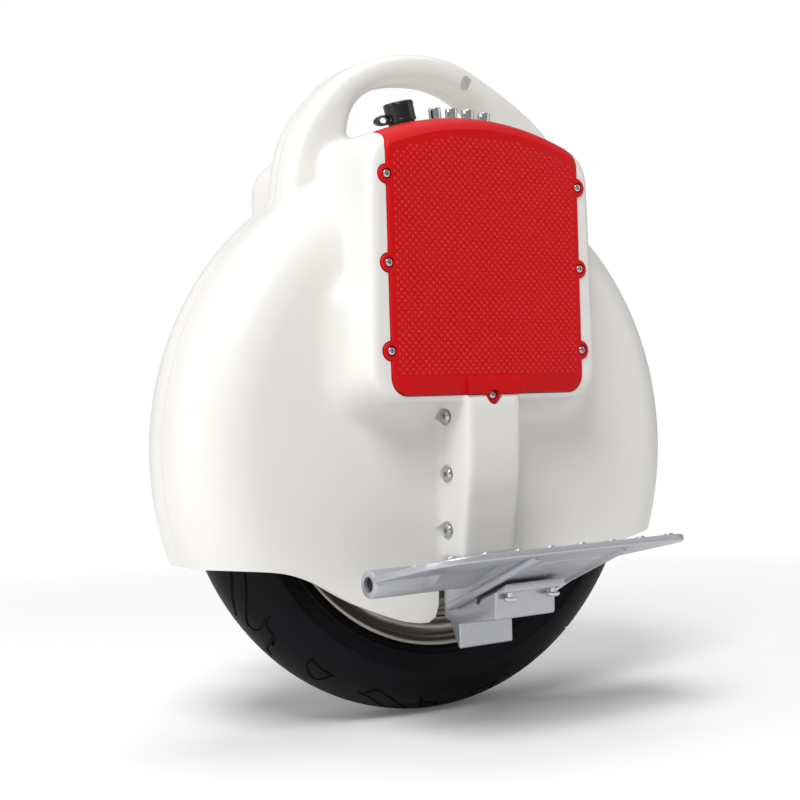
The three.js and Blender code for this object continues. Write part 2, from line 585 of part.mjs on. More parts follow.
// A point of the belly, so far out from the hinge and raised, turned into the pedal's level frame.
const belly = (out, raised = 0) => {
  const p = new THREE.Vector2(out, bellyAt(out) + raised).rotateAround(new THREE.Vector2(),
    -THREE.MathUtils.degToRad(pedalTilt));
  return [p.x, p.y];
};
const cheekOutline = [[-6, 2], [pedalReach - 7, 2], belly(bellyOuter), belly(-18), [-14, -12]];
const cheeks = [-cheekInner - cheekThickness / 2, cheekFront + cheekThickness / 2].map((x) =>
  crossSlab(cheekOutline, cheekThickness / 2, x));
const bellyPlate = crossSlab([belly(bellyOuter), belly(bellyOuter, bellyThickness),
  belly(8, bellyThickness), belly(8)], (cheekInner + cheekFront) / 2 + 1, (cheekFront - cheekInner) / 2);
const throat = block([-cheekInner, -12, -20], [cheekInner, 20, 20]);
const pedal = cut(joined(cut(plate, throat), ...barrels, ...cheeks, bellyPlate, ...studs),
  bar(0, barrelBore, 300, [0, 0, 0]));
onBothSides("pedal", atHinge(geometryOf(pedal)), castAlloy);
const pinEnds = [-pedalHalfLength + 2, barrelFront - 2];
onBothSides("pedal_pin", bar(0, pinRadius, pinEnds[1] - pinEnds[0],
  [(pinEnds[0] + pinEnds[1]) / 2, -hingeY, hingeZ]), zinc);

[-1, 1].forEach((side, i) => {
  const tipZ = hingeZ + bellyAt(adjusterY - adjusterRadius - hingeY) - 2 * GAP;
  const headZ = hingeZ - 12.9;
  const shank = bar(2, adjusterRadius, tipZ - headZ,
    [side * adjusterX, -adjusterY, (tipZ + headZ) / 2], 10);
  const head = bar(2, adjusterHeadRadius, adjusterHead, [side * adjusterX, -adjusterY, headZ - 1], 16);
  onBothSides("pedal_adjuster", joined(head, shank), zinc, `_${i + 1}`);
});

// ---- electronics in the side pockets -----------------------------------------------------------
const pocketFloorY = fenderHalfWidth + wall + GAP;
function pocketPiece([width, depth, height], y, bottom) {
  return block([-width / 2, -(y + depth), bottom], [width / 2, -y, bottom + height]);
}
const heatsink = cut(pocketPiece(heatsinkSize, pocketFloorY, pocketBottomZ + GAP),
  ...Array.from({ length: heatsinkFins - 1 }, (_, i) => {
    const x = -heatsinkSize[0] / 2 + ((i + 1) * heatsinkSize[0]) / heatsinkFins;
    return block([x - 2, -(pocketFloorY + heatsinkSize[1] - 3), pocketBottomZ],
      [x + 2, -pocketFloorY + 1, pocketBottomZ + heatsinkSize[2] + 2]);
  }));
rightHalf.add(part("controller_heatsink", heatsink, alloy));
const boardY = pocketFloorY + heatsinkSize[1] + GAP;
const capacitors = [-1, 0, 1].map((i) =>
  bar(1, 4, 3.4, [i * 22, -(boardY + boardSize[1] + 1.6), pocketBottomZ + 76], 12));
const board = joined(pocketPiece(boardSize, boardY, pocketBottomZ + GAP), ...capacitors);
rightHalf.add(part("controller_board", board, boardGreen));
leftHalf.add(part("battery_pack", pocketPiece(batterySize, pocketFloorY, pocketBottomZ + GAP), blueWrap));

// ---- deck fittings, on the right-hand side of the handle --------------------------------------
const portBody = joined(bar(2, portRadius, 18, [0, 0, -8], 20), bar(2, portRadius - 1.5, 7, [0, 0, 4], 20));
const port = cut(portBody, bar(2, portRadius - 4, 14, [0, 0, 3], 16));
group.add(part("charge_port", onDeck(portX, port), blackRubber));
const capTab = cut(sideSlab(arc(-capRadius - 5, 5.8, 5.4, 0, 330, 11), -4, 4),
  sideSlab(arc(-capRadius - 5.5, 5.8, 3, 0, 330, 9), -5, 5));
const cap = cut(joined(bar(2, capRadius, capHeight, [0, 0, 1 + GAP + capHeight / 2], 24), capTab),
  bar(2, portRadius - 1.5 + GAP, 8.4, [0, 0, 3.9], 20));
group.add(part("charge_port_cap", onDeck(portX, cap), blackRubber));
ledX.forEach((x, i) => {
  const bezel = joined(bar(2, ledRadius, ledHeight, [0, 0, GAP + ledHeight / 2], 16),
    bar(2, ledRadius - 1, 12, [0, 0, -5], 12));
  group.add(part(`led_${i + 1}`, onDeck(x, bezel), chrome));
});
const bezel = cut(joined(bar(2, buttonRadius, 14, [0, 0, -6], 20),
  bar(2, buttonRadius + 2, bezelTop, [0, 0, GAP + bezelTop / 2], 24)),
  bar(2, buttonRadius - 2, 12, [0, 0, 1], 20));
group.add(part("power_button_bezel", onDeck(buttonX, bezel), chrome));
const button = bar(2, buttonRadius - 2 - GAP, 5, [0, 0, bezelTop + 0.8 + buttonTravel - 2.5], 20);
group.add(part("power_button", onDeck(buttonX, button), blackRubber));

export default group;
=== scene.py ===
import math

import bpy
from mathutils import Matrix, Vector


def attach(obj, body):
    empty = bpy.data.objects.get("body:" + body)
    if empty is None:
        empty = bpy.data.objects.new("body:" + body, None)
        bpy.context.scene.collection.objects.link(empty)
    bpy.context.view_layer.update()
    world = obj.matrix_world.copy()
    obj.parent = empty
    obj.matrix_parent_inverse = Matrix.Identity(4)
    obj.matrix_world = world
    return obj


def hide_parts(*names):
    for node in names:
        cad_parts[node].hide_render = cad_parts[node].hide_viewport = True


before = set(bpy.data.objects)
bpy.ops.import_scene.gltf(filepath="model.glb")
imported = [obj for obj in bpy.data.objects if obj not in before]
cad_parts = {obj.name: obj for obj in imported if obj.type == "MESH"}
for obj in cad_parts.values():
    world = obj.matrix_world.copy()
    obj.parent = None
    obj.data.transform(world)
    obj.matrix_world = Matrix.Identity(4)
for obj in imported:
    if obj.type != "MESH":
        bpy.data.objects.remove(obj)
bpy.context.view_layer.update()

# ---- studio --------------------------------------------------------------------------------
# A white sweep with no visible horizon, lit by a broad lamp at the upper left and a soft room
# light. The lens looks level at the machine from its rear right quarter.
scene = bpy.context.scene
scene.view_settings.view_transform = "Standard"
MM = 0.001
LENS = 65.22
YAW, PITCH, ROLL = -0.599, 0.001, -0.029
EYE = (-561.285, -795.301, 206.585)

forward = Vector((-math.sin(YAW) * math.cos(PITCH), math.cos(YAW) * math.cos(PITCH), -math.sin(PITCH)))
level_right = Vector((math.cos(YAW), math.sin(YAW), 0))
level_up = level_right.cross(forward)
camera_right = math.cos(ROLL) * level_right + math.sin(ROLL) * level_up
camera_up = -math.sin(ROLL) * level_right + math.cos(ROLL) * level_up
camera = bpy.data.objects.new("camera", bpy.data.cameras.new("camera"))
scene.collection.objects.link(camera)
camera.data.lens = LENS
camera.data.clip_end = 50
turn = Matrix((camera_right, camera_up, -forward)).transposed().to_4x4()
camera.matrix_world = Matrix.Translation(Vector(EYE) * MM) @ turn
scene.camera = camera

AIM = Vector((0, 0, 0.2))
for lamp_name, place, size, power in (
    ("key_lamp", (-1.5, -1.3, 2.5), 1.2, 56),
    ("side_lamp", (-2.3, 0.3, 0.9), 1.4, 15),
    ("top_lamp", (0.3, 0.5, 2.6), 2.0, 20),
    ("right_lamp", (2.2, -1.3, 1.0), 1.2, 4),
):
    lamp = bpy.data.objects.new(lamp_name, bpy.data.lights.new(lamp_name, "AREA"))
    scene.collection.objects.link(lamp)
    lamp.data.energy = power
    lamp.data.size = size
    lamp.location = place
    lamp.rotation_euler = (AIM - Vector(place)).to_track_quat("-Z", "Y").to_euler()

WORLD_LIGHT = 0.38
world = bpy.data.worlds.new("studio")
scene.world = world
world.use_nodes = True
nodes, links = world.node_tree.nodes, world.node_tree.links
nodes.clear()
world_output = nodes.new("ShaderNodeOutputWorld")
room_light = nodes.new("ShaderNodeBackground")
room_light.inputs["Strength"].default_value = WORLD_LIGHT
seen_white = nodes.new("ShaderNodeBackground")
seen_white.inputs["Color"].default_value = (1, 1, 1, 1)
either = nodes.new("ShaderNodeMixShader")
path = nodes.new("ShaderNodeLightPath")
links.new(path.outputs["Is Camera Ray"], either.inputs["Fac"])
links.new(room_light.outputs["Background"], either.inputs[1])
links.new(seen_white.outputs["Background"], either.inputs[2])
links.new(either.outputs["Shader"], world_output.inputs["Surface"])

bpy.ops.object.select_all(action="DESELECT")
bpy.ops.mesh.primitive_circle_add(vertices=96, radius=9, fill_type="NGON")
floor = bpy.context.object
floor.name = "floor"
FLOOR_GLOW = 0.06
FLOOR_FADE = 0.55, 0.95
floor_paper = bpy.data.materials.new("floor_paper")
floor_paper.use_nodes = True
nodes, links = floor_paper.node_tree.nodes, floor_paper.node_tree.links
nodes.clear()
floor_output = nodes.new("ShaderNodeOutputMaterial")
paper = nodes.new("ShaderNodeBsdfDiffuse")
paper.inputs["Color"].default_value = (0.93, 0.93, 0.93, 1)
glow = nodes.new("ShaderNodeEmission")
path = nodes.new("ShaderNodeLightPath")
dimmed = nodes.new("ShaderNodeMath")
dimmed.operation = "MULTIPLY"
dimmed.inputs[1].default_value = FLOOR_GLOW
both = nodes.new("ShaderNodeAddShader")
links.new(path.outputs["Is Camera Ray"], dimmed.inputs[0])
links.new(dimmed.outputs["Value"], glow.inputs["Strength"])
links.new(paper.outputs["BSDF"], both.inputs[0])
links.new(glow.outputs["Emission"], both.inputs[1])
coordinates = nodes.new("ShaderNodeTexCoord")
distance = nodes.new("ShaderNodeVectorMath")
distance.operation = "LENGTH"
fade = nodes.new("ShaderNodeMapRange")
fade.inputs["From Min"].default_value, fade.inputs["From Max"].default_value = FLOOR_FADE
seen_fade = nodes.new("ShaderNodeMath")
seen_fade.operation = "MULTIPLY"
white = nodes.new("ShaderNodeEmission")
sweep = nodes.new("ShaderNodeMixShader")
links.new(coordinates.outputs["Object"], distance.inputs[0])
links.new(distance.outputs["Value"], fade.inputs["Value"])
links.new(fade.outputs["Result"], seen_fade.inputs[0])
links.new(path.outputs["Is Camera Ray"], seen_fade.inputs[1])
links.new(seen_fade.outputs["Value"], sweep.inputs["Fac"])
links.new(both.outputs["Shader"], sweep.inputs[1])
links.new(white.outputs["Emission"], sweep.inputs[2])
links.new(sweep.outputs["Shader"], floor_output.inputs["Surface"])
floor.data.materials.append(floor_paper)

# ---- shell ---------------------------------------------------------------------------------
# Two mirrored mouldings in ivory ABS, screwed together on the wheel's middle plane. Each is half
# of the mudguard, a side box, a spine over the pedal hanger, and half of the carrying handle.
AXLE_Z = 178
FENDER_Z = 174
CORNER_STEPS = 8


# Selects some pieces and nothing else, the first of them active.
def choose(*pieces):
    bpy.ops.object.select_all(action="DESELECT")
    for piece in pieces:
        piece.select_set(True)
    bpy.context.view_layer.objects.active = pieces[0]


def join(*pieces):
    choose(*pieces)
    bpy.ops.object.join()


def edit(piece):
    bpy.ops.object.mode_set(mode="OBJECT")
    choose(piece)
    bpy.ops.object.mode_set(mode="EDIT")


def leave():
    bpy.ops.object.mode_set(mode="OBJECT")


# Draws an outline of (x, y, z) points as one flat face.
def drawn(name, points, fill="NGON"):
    bpy.ops.object.select_all(action="DESELECT")
    bpy.ops.mesh.primitive_circle_add(vertices=len(points), radius=0.1, fill_type=fill)
    piece = bpy.context.object
    piece.name = piece.data.name = name
    for vertex, point in zip(piece.data.vertices, points):
        vertex.co = Vector(point) * MM
    return piece


# A closed skin through outlines with equal numbers of (x, y, z) points.
def loft(name, outlines):
    piece = drawn(name, outlines[0])
    for polygon in piece.data.polygons:
        polygon.select = True
    for outline in outlines[1:]:
        edit(piece)
        bpy.ops.mesh.extrude_region_move()
        leave()
        fresh = [vertex for vertex in piece.data.vertices if vertex.select]
        for vertex, point in zip(fresh, outline):
            vertex.co = Vector(point) * MM
    edit(piece)
    bpy.ops.mesh.select_all(action="SELECT")
    bpy.ops.mesh.normals_make_consistent(inside=False)
    leave()
    return piece


# A side view, (x, z) points, made thick from y = -near to y = -far.
def side_slab(name, outline, near, far):
    return loft(name, [[(x, -out, z) for x, z in outline] for out in (near, far)])


# A view along the travel direction, (distance out to the right, z) points, thick across X.
def cross_slab(name, outline, half_width, centre=0):
    return loft(name, [[(x, -out, z) for out, z in outline]
                       for x in (centre - half_width, centre + half_width)])


# A round bar along axis 0, 1 or 2.
def bar(name, axis, radius, length, centre, sides=32):
    tilt = {0: (0, math.pi / 2, 0), 1: (math.pi / 2, 0, 0), 2: (0, 0, 0)}[axis]
    bpy.ops.object.select_all(action="DESELECT")
    bpy.ops.mesh.primitive_cylinder_add(vertices=sides, radius=radius * MM, depth=length * MM,
                                        location=Vector(centre) * MM, rotation=tilt)
    piece = bpy.context.object
    piece.name = piece.data.name = name
    bpy.ops.object.transform_apply(location=True, rotation=True, scale=True)
    return piece


def apply_modifiers(piece):
    choose(piece)
    for modifier in list(piece.modifiers):
        bpy.ops.object.modifier_apply(modifier=modifier.name)
    return piece


# Joins or cuts a piece with tools, which are used up.
def combine(piece, tools, operation):
    for tool in tools:
        modifier = piece.modifiers.new("combine", "BOOLEAN")
        modifier.operation = operation
        modifier.solver = "MANIFOLD"
        modifier.object = tool
        apply_modifiers(piece)
        bpy.data.objects.remove(tool)
    return piece


def cut(piece, *tools):
    return combine(piece, tools, "DIFFERENCE")


def weld(piece, *tools):
    return combine(piece, tools, "UNION")


# Rounds the edges that turn by more than an angle.
def round_edges(piece, width, segments=3, degrees=40):
    modifier = piece.modifiers.new("round", "BEVEL")
    modifier.width = width * MM
    modifier.segments = segments
    modifier.angle_limit = math.radians(degrees)
    modifier.harden_normals = False
    return apply_modifiers(piece)


def smooth_shade(piece, degrees=35):
    choose(piece)
    bpy.ops.object.shade_smooth_by_angle(angle=math.radians(degrees))
    return piece


# The same piece on the other side of the wheel.
def mirrored(piece, name):
    twin = piece.copy()
    twin.data = piece.data.copy()
    twin.name = twin.data.name = name
    scene.collection.objects.link(twin)
    twin.data.transform(Matrix.Scale(-1, 4, (0, 1, 0)))
    twin.data.flip_normals()
    return twin


def arc(centre_x, centre_z, radius, start, end, steps):
    angles = [math.radians(start + (end - start) * i / steps) for i in range(steps + 1)]
    return [(centre_x + radius * math.cos(a), centre_z + radius * math.sin(a)) for a in angles]


# A smooth curve through points, with a number of steps between each two.
def spline(points, steps):
    padded = [points[0], *points, points[-1]]
    curve = []
    for before, a, b, after in zip(padded, padded[1:], padded[2:], padded[3:]):
        for i in range(steps):
            t = i / steps
            curve.append(tuple(
                0.5 * (2 * q + (r - p) * t + (2 * p - 5 * q + 4 * r - s) * t ** 2
                       + (3 * q - p - 3 * r + s) * t ** 3)
                for p, q, r, s in zip(before, a, b, after)))
    return [*curve, tuple(points[-1])]


# The box's outline: rounded corners and a top that follows the deck, an arc about the axle.
def box_outline(half_top, half_bottom, bottom, top, corner, top_corner=None):
    top_corner = top_corner or corner
    lean = math.asin((half_top - top_corner) / (top - top_corner))
    corner_x = (top - top_corner) * math.sin(lean)
    corner_z = AXLE_Z + (top - top_corner) * math.cos(lean)
    turned = math.degrees(lean)
    return [
        *arc(-half_bottom + corner, bottom + corner, corner, 180, 270, CORNER_STEPS),
        *arc(half_bottom - corner, bottom + corner, corner, 270, 360, CORNER_STEPS),
        *arc(corner_x, corner_z, top_corner, 0, 90 - turned, CORNER_STEPS),
        *arc(0, AXLE_Z, top, 90 - turned, 90 + turned, 32)[1:-1],
        *arc(-corner_x, corner_z, top_corner, 90 + turned, 180, CORNER_STEPS),
    ]


# Rounds the rim of a disc on its -Y side.
def round_outer_rim(disc, half_width, radius):
    edit(disc)
    bpy.ops.mesh.select_all(action="DESELECT")
    leave()
    for edge in disc.data.edges:
        ends = [disc.data.vertices[i].co.y for i in edge.vertices]
        edge.select = max(ends) < -half_width * MM + 1e-5
    edit(disc)
    bpy.ops.mesh.bevel(offset=radius * MM, segments=14, affect="EDGES")
    leave()
    return disc


SEAM = 0.15
PAST_SEAM = 8
FENDER_RADIUS = 191.6
FENDER_HALF = 48
FENDER_ROUND = 38
WALL = 3.5
DECK_RADIUS = 205
BOX_HALF_TOP = 87
BOX_HALF_BOTTOM = 89.5
BOX_BOTTOM = 203.5
BOX_CORNER = 20
SPINE_HALF = 21.3
SPINE_FRONT = [(79, 208), (78.6, 190), (78.2, 170), (76.6, 154), (74, 140), (71.6, 124), (69.5, 111),
               (69, 104)]
SPINE_WALL = 3.2
SPINE_GAP = 0.3
HOLLOW_TOP, HOLLOW_BOTTOM = 202.5, 95
HEM_BOTTOM = -40
SCREW_ROW = [(55, 194.4), (55, 158.1), (53.6, 122.4)]


def middle_disc(name, radius, half_width, edge_round, inner):
    length = half_width + inner
    disc = bar(name, 1, radius, length, (0, (inner - half_width) / 2, FENDER_Z), 144)
    return round_outer_rim(disc, half_width, edge_round)


shell = middle_disc("shell_right_moulding", FENDER_RADIUS, FENDER_HALF, FENDER_ROUND, PAST_SEAM)


def box_section(out, shrink, drop):
    outline = box_outline(BOX_HALF_TOP - shrink, BOX_HALF_BOTTOM - shrink, BOX_BOTTOM + shrink,
                          DECK_RADIUS - drop, BOX_CORNER)
    return [(x, -out, z) for x, z in outline]


box = loft("box", [box_section(*row) for row in (
    (-PAST_SEAM, 0, 0), (60, 0, 0), (68, 0, 1.6), (71, 0.4, 3.2), (73, 1.0, 4.8), (74.6, 2.2, 7), (75.5,
        3.8, 9.4))])


# The fillet where the box grows out of the mudguard's flat side.
def root_section(spread, out):
    outline = box_outline(BOX_HALF_BOTTOM + spread, BOX_HALF_BOTTOM + spread, BOX_BOTTOM - 0.7 * spread,
                          132 + 0.4 * spread, BOX_CORNER + 0.5 * spread, 34)
    return [(x, -out, z) for x, z in outline]


root = loft("root", [root_section(*row) for row in (
    (19, 40), (19, 48), (15, 49.2), (11.8, 50.8), (8.6, 52.8), (5.8, 55.4), (3.6, 58.4), (1.8, 61.6),
    (0.4, 65), (-1, 70))])
spine = cross_slab("spine", [(40, 208), *SPINE_FRONT, (40, 104)], SPINE_HALF)
round_edges(spine, 3.2, 4, 60)

HANDLE_HALF = 17.5
HANDLE_ROUND = 10
GRIP_SCREW = (32, -HANDLE_HALF - 4, 418)
GRIP_SCREW_RADIUS = 4.7
HANDLE_OUTER = [(-110, 318), (-108.5, 340), (-102, 369), (-91, 388), (-72, 409.5), (-52, 422.5), (-27,
    431.5),
                (0, 434.7), (27, 431.7), (57, 418.8), (83, 404), (105, 387), (119, 368), (125, 345),
                (126, 318)]
HANDLE_INNER = [(-63, 318), (-61.5, 348), (-61.5, 372), (-59.5, 386), (-53, 398), (-40, 407.5), (-20,
    414),
                (4, 416), (22, 413.8), (38, 407.5), (52, 397.5), (61, 384), (64.5, 368), (65.5, 345),
                (66, 318)]


# The handle's section between an outer and an inner point: a rounded bar, deeper than it is tall.
def handle_section(outer_point, inner_point):
    centre = (Vector(outer_point) + Vector(inner_point)) / 2
    reach = (Vector(outer_point) - Vector(inner_point)) / 2
    half = reach.length
    rounding = min(HANDLE_ROUND, half - 0.2)
    points = []
    for corner_out, corner_y, start in ((1, 1, 0), (-1, 1, 90), (-1, -1, 180), (1, -1, 270)):
        for i in range(7):
            angle = math.radians(start + 15 * i)
            along = corner_out * (half - rounding) + rounding * math.cos(angle)
            depth = corner_y * (HANDLE_HALF - rounding) + rounding * math.sin(angle)
            place = centre + reach.normalized() * along
            points.append((place.x, depth, place.y))
    return points


handle = loft("handle", [handle_section(*pair)
                         for pair in zip(spline(HANDLE_OUTER, 5), spline(HANDLE_INNER, 5))])
weld(shell, box, root, spine, handle)
modifier = shell.modifiers.new("blend", "REMESH")
modifier.mode = "VOXEL"
modifier.voxel_size = 2 * MM
apply_modifiers(shell)
modifier = shell.modifiers.new("soften", "SMOOTH")
modifier.factor = 0.5
modifier.iterations = 7
apply_modifiers(shell)

# The shell's lower edge, from the middle outwards: round the hanger, then rising to the ends.
HEM = [(25, 102), (25.2, 88), (26, 75), (28.6, 67.8), (34, 64.8),
       *spline([(40, 65), (56, 68.5), (85, 80), (99, 87), (120, 98.8), (140, 105.4), (167, 108.5), (186,
           108.7)], 5),
       (230, 108.9)]
below = [*HEM, (230, HEM_BOTTOM), (-230, HEM_BOTTOM), *[(-x, z) for x, z in reversed(HEM)]]
well = middle_disc("well", FENDER_RADIUS - WALL, FENDER_HALF - WALL, FENDER_ROUND - WALL, 12)
keep_half = bar("keep_half", 1, 600, 300, (0, -150 - SEAM, 200), 16)
combine(shell, [keep_half], "INTERSECT")
spine_hollow = cross_slab("spine_hollow", [
    (FENDER_HALF + SPINE_GAP, HOLLOW_TOP), (SPINE_FRONT[0][0] - SPINE_WALL, HOLLOW_TOP),
    *[(out - SPINE_WALL, z) for out, z in SPINE_FRONT[1:]], (66, HOLLOW_BOTTOM),
    (FENDER_HALF + SPINE_GAP, HOLLOW_BOTTOM)],
    SPINE_HALF - SPINE_WALL)
cut(shell, well, side_slab("below", below, -12, 120), spine_hollow)
# What the red cover needs, grown by a clearance: a front plate, a top lip that rolls back over the
# deck's edge, round lugs for its screws, and a raised tab that meets the spine.
COVER_FACE = 77
COVER_HALF = 75.2
COVER_BOTTOM = 208
COVER_SEAT = 72.3
COVER_EDGE = 1.4
LUG_RADIUS = 5.6
LUGS = [(side * 75.5, z) for side in (-1, 1) for z in (341.6, 288.3, 235.1)] + [(0, 207.4)]
TAB_HALF = 20.3
ROLL = spline([(60, 205), (66, 204.2), (71, 201.8), (74.5, 198.6), (COVER_FACE, 195.5)], 4)


def cover_body(name, grow):
    sections = []
    for i, (out, top) in enumerate(ROLL):
        into = max(0, out - COVER_FACE + COVER_EDGE) / COVER_EDGE
        shrink = COVER_EDGE * (1 - math.sqrt(1 - into ** 2))
        half = COVER_HALF + grow - shrink
        outline = box_outline(half, half, COVER_BOTTOM - grow + shrink, top + grow, 12, 6)
        lap = -grow if i == 0 else 0
        sections.append([(x, -(out + lap), z) for x, z in outline])
    body = loft(name, sections)
    behind = []
    for out, drop in ((54, 0), (64, 0.8), (68, 2.8), (COVER_SEAT - grow, 6.5)):
        half = COVER_HALF + 6
        outline = box_outline(half, half, COVER_BOTTOM - 9, 202 - drop - grow, 12, 6)
        behind.append([(x, -out, z) for x, z in outline])
    cut(body, loft("behind", behind))
    near, far = COVER_SEAT - grow, COVER_FACE + (6 if grow else 0)
    for x, z in LUGS:
        ear = bar("ear", 1, LUG_RADIUS + grow, far - near, (x, -(near + far) / 2, z), 40)
        weld(body, ear if grow else round_edges(ear, 1.3, 4))
    rise = 8 if grow else 2
    tab = cross_slab("tab", [
        (near, COVER_BOTTOM - grow), (COVER_FACE + rise, COVER_BOTTOM - grow), (COVER_FACE + rise,
            COVER_BOTTOM + 8),
        (COVER_FACE - 0.6, COVER_BOTTOM + 12.5), (near, COVER_BOTTOM + 12.5)], TAB_HALF + grow)
    return weld(body, tab)


POCKET_HALF = 70
POCKET_BOTTOM = 214
COVER_GAP = 0.55
BAY_RADIUS = 5.9
pocket = side_slab("pocket", box_outline(POCKET_HALF, POCKET_HALF, POCKET_BOTTOM, DECK_RADIUS - 7, 8, 6),
                   FENDER_HALF + WALL, 90)
cut(shell, pocket, cover_body("cover_space", COVER_GAP),
    bar("axle_way", 1, 12, 20, (0, -FENDER_HALF, AXLE_Z), 48))
for x, z in LUGS:
    cut(shell, bar("lug_screw_hole", 1, 1.7, 20, (x, -70, z), 12))
for out, z in SCREW_ROW:
    cut(shell, bar("screw_hole", 0, 2.6, 40, (-SPINE_HALF, -out, z), 16))
    cut(shell, bar("bay", 0, BAY_RADIUS, 6, (-SPINE_HALF - 1.8, -out, z), 40))
cut(shell, bar("grip_screw_hole", 1, GRIP_SCREW_RADIUS, 20, GRIP_SCREW, 40))
left_shell = mirrored(shell, "shell_left_moulding")

# A fitting on the deck, made upright about the Z axis with its seat at z = 0, stood on the deck.
DECK_ROW = 49.5
PORT_X, PORT_RADIUS = -44.5, 8.5
LED_X, LED_RADIUS = (-18.5, -5.8, 6.9, 19.6), 4
BUTTON_X, BUTTON_RADIUS = 50, 7


def on_deck(piece, x):
    lean = math.asin(x / DECK_RADIUS)
    seat = Vector((x, -DECK_ROW, AXLE_Z + DECK_RADIUS * math.cos(lean))) * MM
    piece.data.transform(Matrix.Translation(seat) @ Matrix.Rotation(lean, 4, "Y"))
    return piece


for x, radius in ((PORT_X, PORT_RADIUS + 0.3), (BUTTON_X, BUTTON_RADIUS + 0.3),
                  *[(x, LED_RADIUS - 0.7) for x in LED_X]):
    cut(shell, on_deck(bar("deck_hole", 2, radius, 40, (0, 0, 0), 32), x))

# An empty node group with plain number sockets.
def node_group(name, inputs, outputs):
    group = bpy.data.node_groups.new(name, "ShaderNodeTree")
    for label, start in inputs.items():
        socket = group.interface.new_socket(label, in_out="INPUT", socket_type="NodeSocketFloat")
        socket.default_value = start
    for label in outputs:
        group.interface.new_socket(label, in_out="OUTPUT", socket_type="NodeSocketFloat")
    nodes = group.nodes
    return group, nodes, group.links, nodes.new("NodeGroupInput"), nodes.new("NodeGroupOutput")


# Slow unevenness and fine grain over a surface, shared by every finish.
surface_texture, nodes, links, inlet, outlet = node_group(
    "surface_texture", {"Patch Scale": 12, "Grain Scale": 900}, ("Patches", "Grain"))
coordinates = nodes.new("ShaderNodeTexCoord")
for label, source, detail in (("Patches", "Patch Scale", 3), ("Grain", "Grain Scale", 2)):
    noise = nodes.new("ShaderNodeTexNoise")
    noise.inputs["Detail"].default_value = detail
    links.new(coordinates.outputs["Object"], noise.inputs["Vector"])
    links.new(inlet.outputs[source], noise.inputs["Scale"])
    links.new(noise.outputs["Fac"], outlet.inputs[label])


# A finish whose colour and gloss drift between two values, with grain in relief.
def finish(name, dark, light, gloss, grain=900, patches=14, relief=0.1, **plain):
    material = bpy.data.materials.new(name)
    material.use_nodes = True
    nodes, links = material.node_tree.nodes, material.node_tree.links
    skin = nodes["Principled BSDF"]
    for socket, value in plain.items():
        skin.inputs[socket.replace("_", " ")].default_value = value
    texture = nodes.new("ShaderNodeGroup")
    texture.node_tree = surface_texture
    texture.inputs["Patch Scale"].default_value = patches
    texture.inputs["Grain Scale"].default_value = grain
    tint = nodes.new("ShaderNodeMix")
    tint.data_type = "RGBA"
    tint.inputs[6].default_value = (*dark, 1)
    tint.inputs[7].default_value = (*light, 1)
    links.new(texture.outputs["Patches"], tint.inputs["Factor"])
    links.new(tint.outputs[2], skin.inputs["Base Color"])
    sheen = nodes.new("ShaderNodeMapRange")
    sheen.inputs["To Min"].default_value, sheen.inputs["To Max"].default_value = gloss
    links.new(texture.outputs["Patches"], sheen.inputs["Value"])
    links.new(sheen.outputs["Result"], skin.inputs["Roughness"])
    bump = nodes.new("ShaderNodeBump")
    bump.inputs["Strength"].default_value = relief
    bump.inputs["Distance"].default_value = 0.0002
    links.new(texture.outputs["Grain"], bump.inputs["Height"])
    links.new(bump.outputs["Normal"], skin.inputs["Normal"])
    return material


# Gives a piece its material unless it has its own, and its body, and hides the CAD
# nodes it stands for.
def fitted(piece, body, material, slot, *stands_for):
    if material:
        piece.data.materials.clear()
        piece.data.materials.append(material)
    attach(piece, body)
    if stands_for:
        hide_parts(*stands_for)
    return piece


ivory_plastic = finish("ivory_plastic", (0.80, 0.785, 0.745), (0.86, 0.845, 0.81), (0.30, 0.42), 1400, 9,
                       0.06,
                       Coat_Weight=0.15, Coat_Roughness=0.25)
for half, side in ((shell, "right"), (left_shell, "left")):
    smooth_shade(half, 32)
    fitted(half, "body", ivory_plastic, "ivory_shell", f"shell_{side}")

# ---- side covers ---------------------------------------------------------------------------
# A red ABS lid over each electronics box. Its face carries a staggered field of low round pips
# inside a plain border, and seven round lugs take the screws that hold it down.
PIP_PITCH = 4.8
PIP_ROW = 2.3
PIP_RADIUS = 1.36
PIP_HEIGHT = 0.55
FIELD_HALF = 70
FIELD_BOTTOM = 221.5
FIELD_TOP_RADIUS = 190.5
SCREW_RADIUS = 2.7

right_cover = cover_body("cover_right_moulding", 0)
inside = box_outline(POCKET_HALF - 1, POCKET_HALF - 1, POCKET_BOTTOM + 3, 190.5, 8, 6)
cut(right_cover, side_slab("inside", inside, 55, COVER_FACE - 3))
for x, z in LUGS:
    cut(right_cover, bar("screw_way", 1, 1.9, 30, (x, -75, z), 16),
        bar("screw_seat", 1, SCREW_RADIUS + 0.6, 15, (x, -(COVER_FACE - 2 + 7.5), z), 32))
smooth_shade(right_cover, 30)

bpy.ops.object.select_all(action="DESELECT")
bpy.ops.mesh.primitive_cylinder_add(vertices=8, radius=PIP_RADIUS * MM, depth=2 * PIP_HEIGHT * MM,
                                    location=(0, 0, 0), rotation=(math.pi / 2, 0, 0))
pip = bpy.context.object
bpy.ops.object.transform_apply(location=True, rotation=True, scale=True)
for polygon in pip.data.polygons:
    polygon.select = polygon.normal.y < -0.9
for edge in pip.data.edges:
    edge.select = False
for vertex in pip.data.vertices:
    vertex.select = vertex.co.y < 0
edit(pip)
bpy.ops.mesh.select_mode(type="FACE")
bpy.ops.mesh.bevel(offset=PIP_HEIGHT * 1.5 * MM, segments=2, affect="EDGES")
leave()
edit(pip)
bpy.ops.mesh.select_mode(type="VERT")
bpy.ops.mesh.select_all(action="SELECT")
bpy.ops.mesh.normals_make_consistent(inside=False)
leave()
smooth_shade(pip, 80)
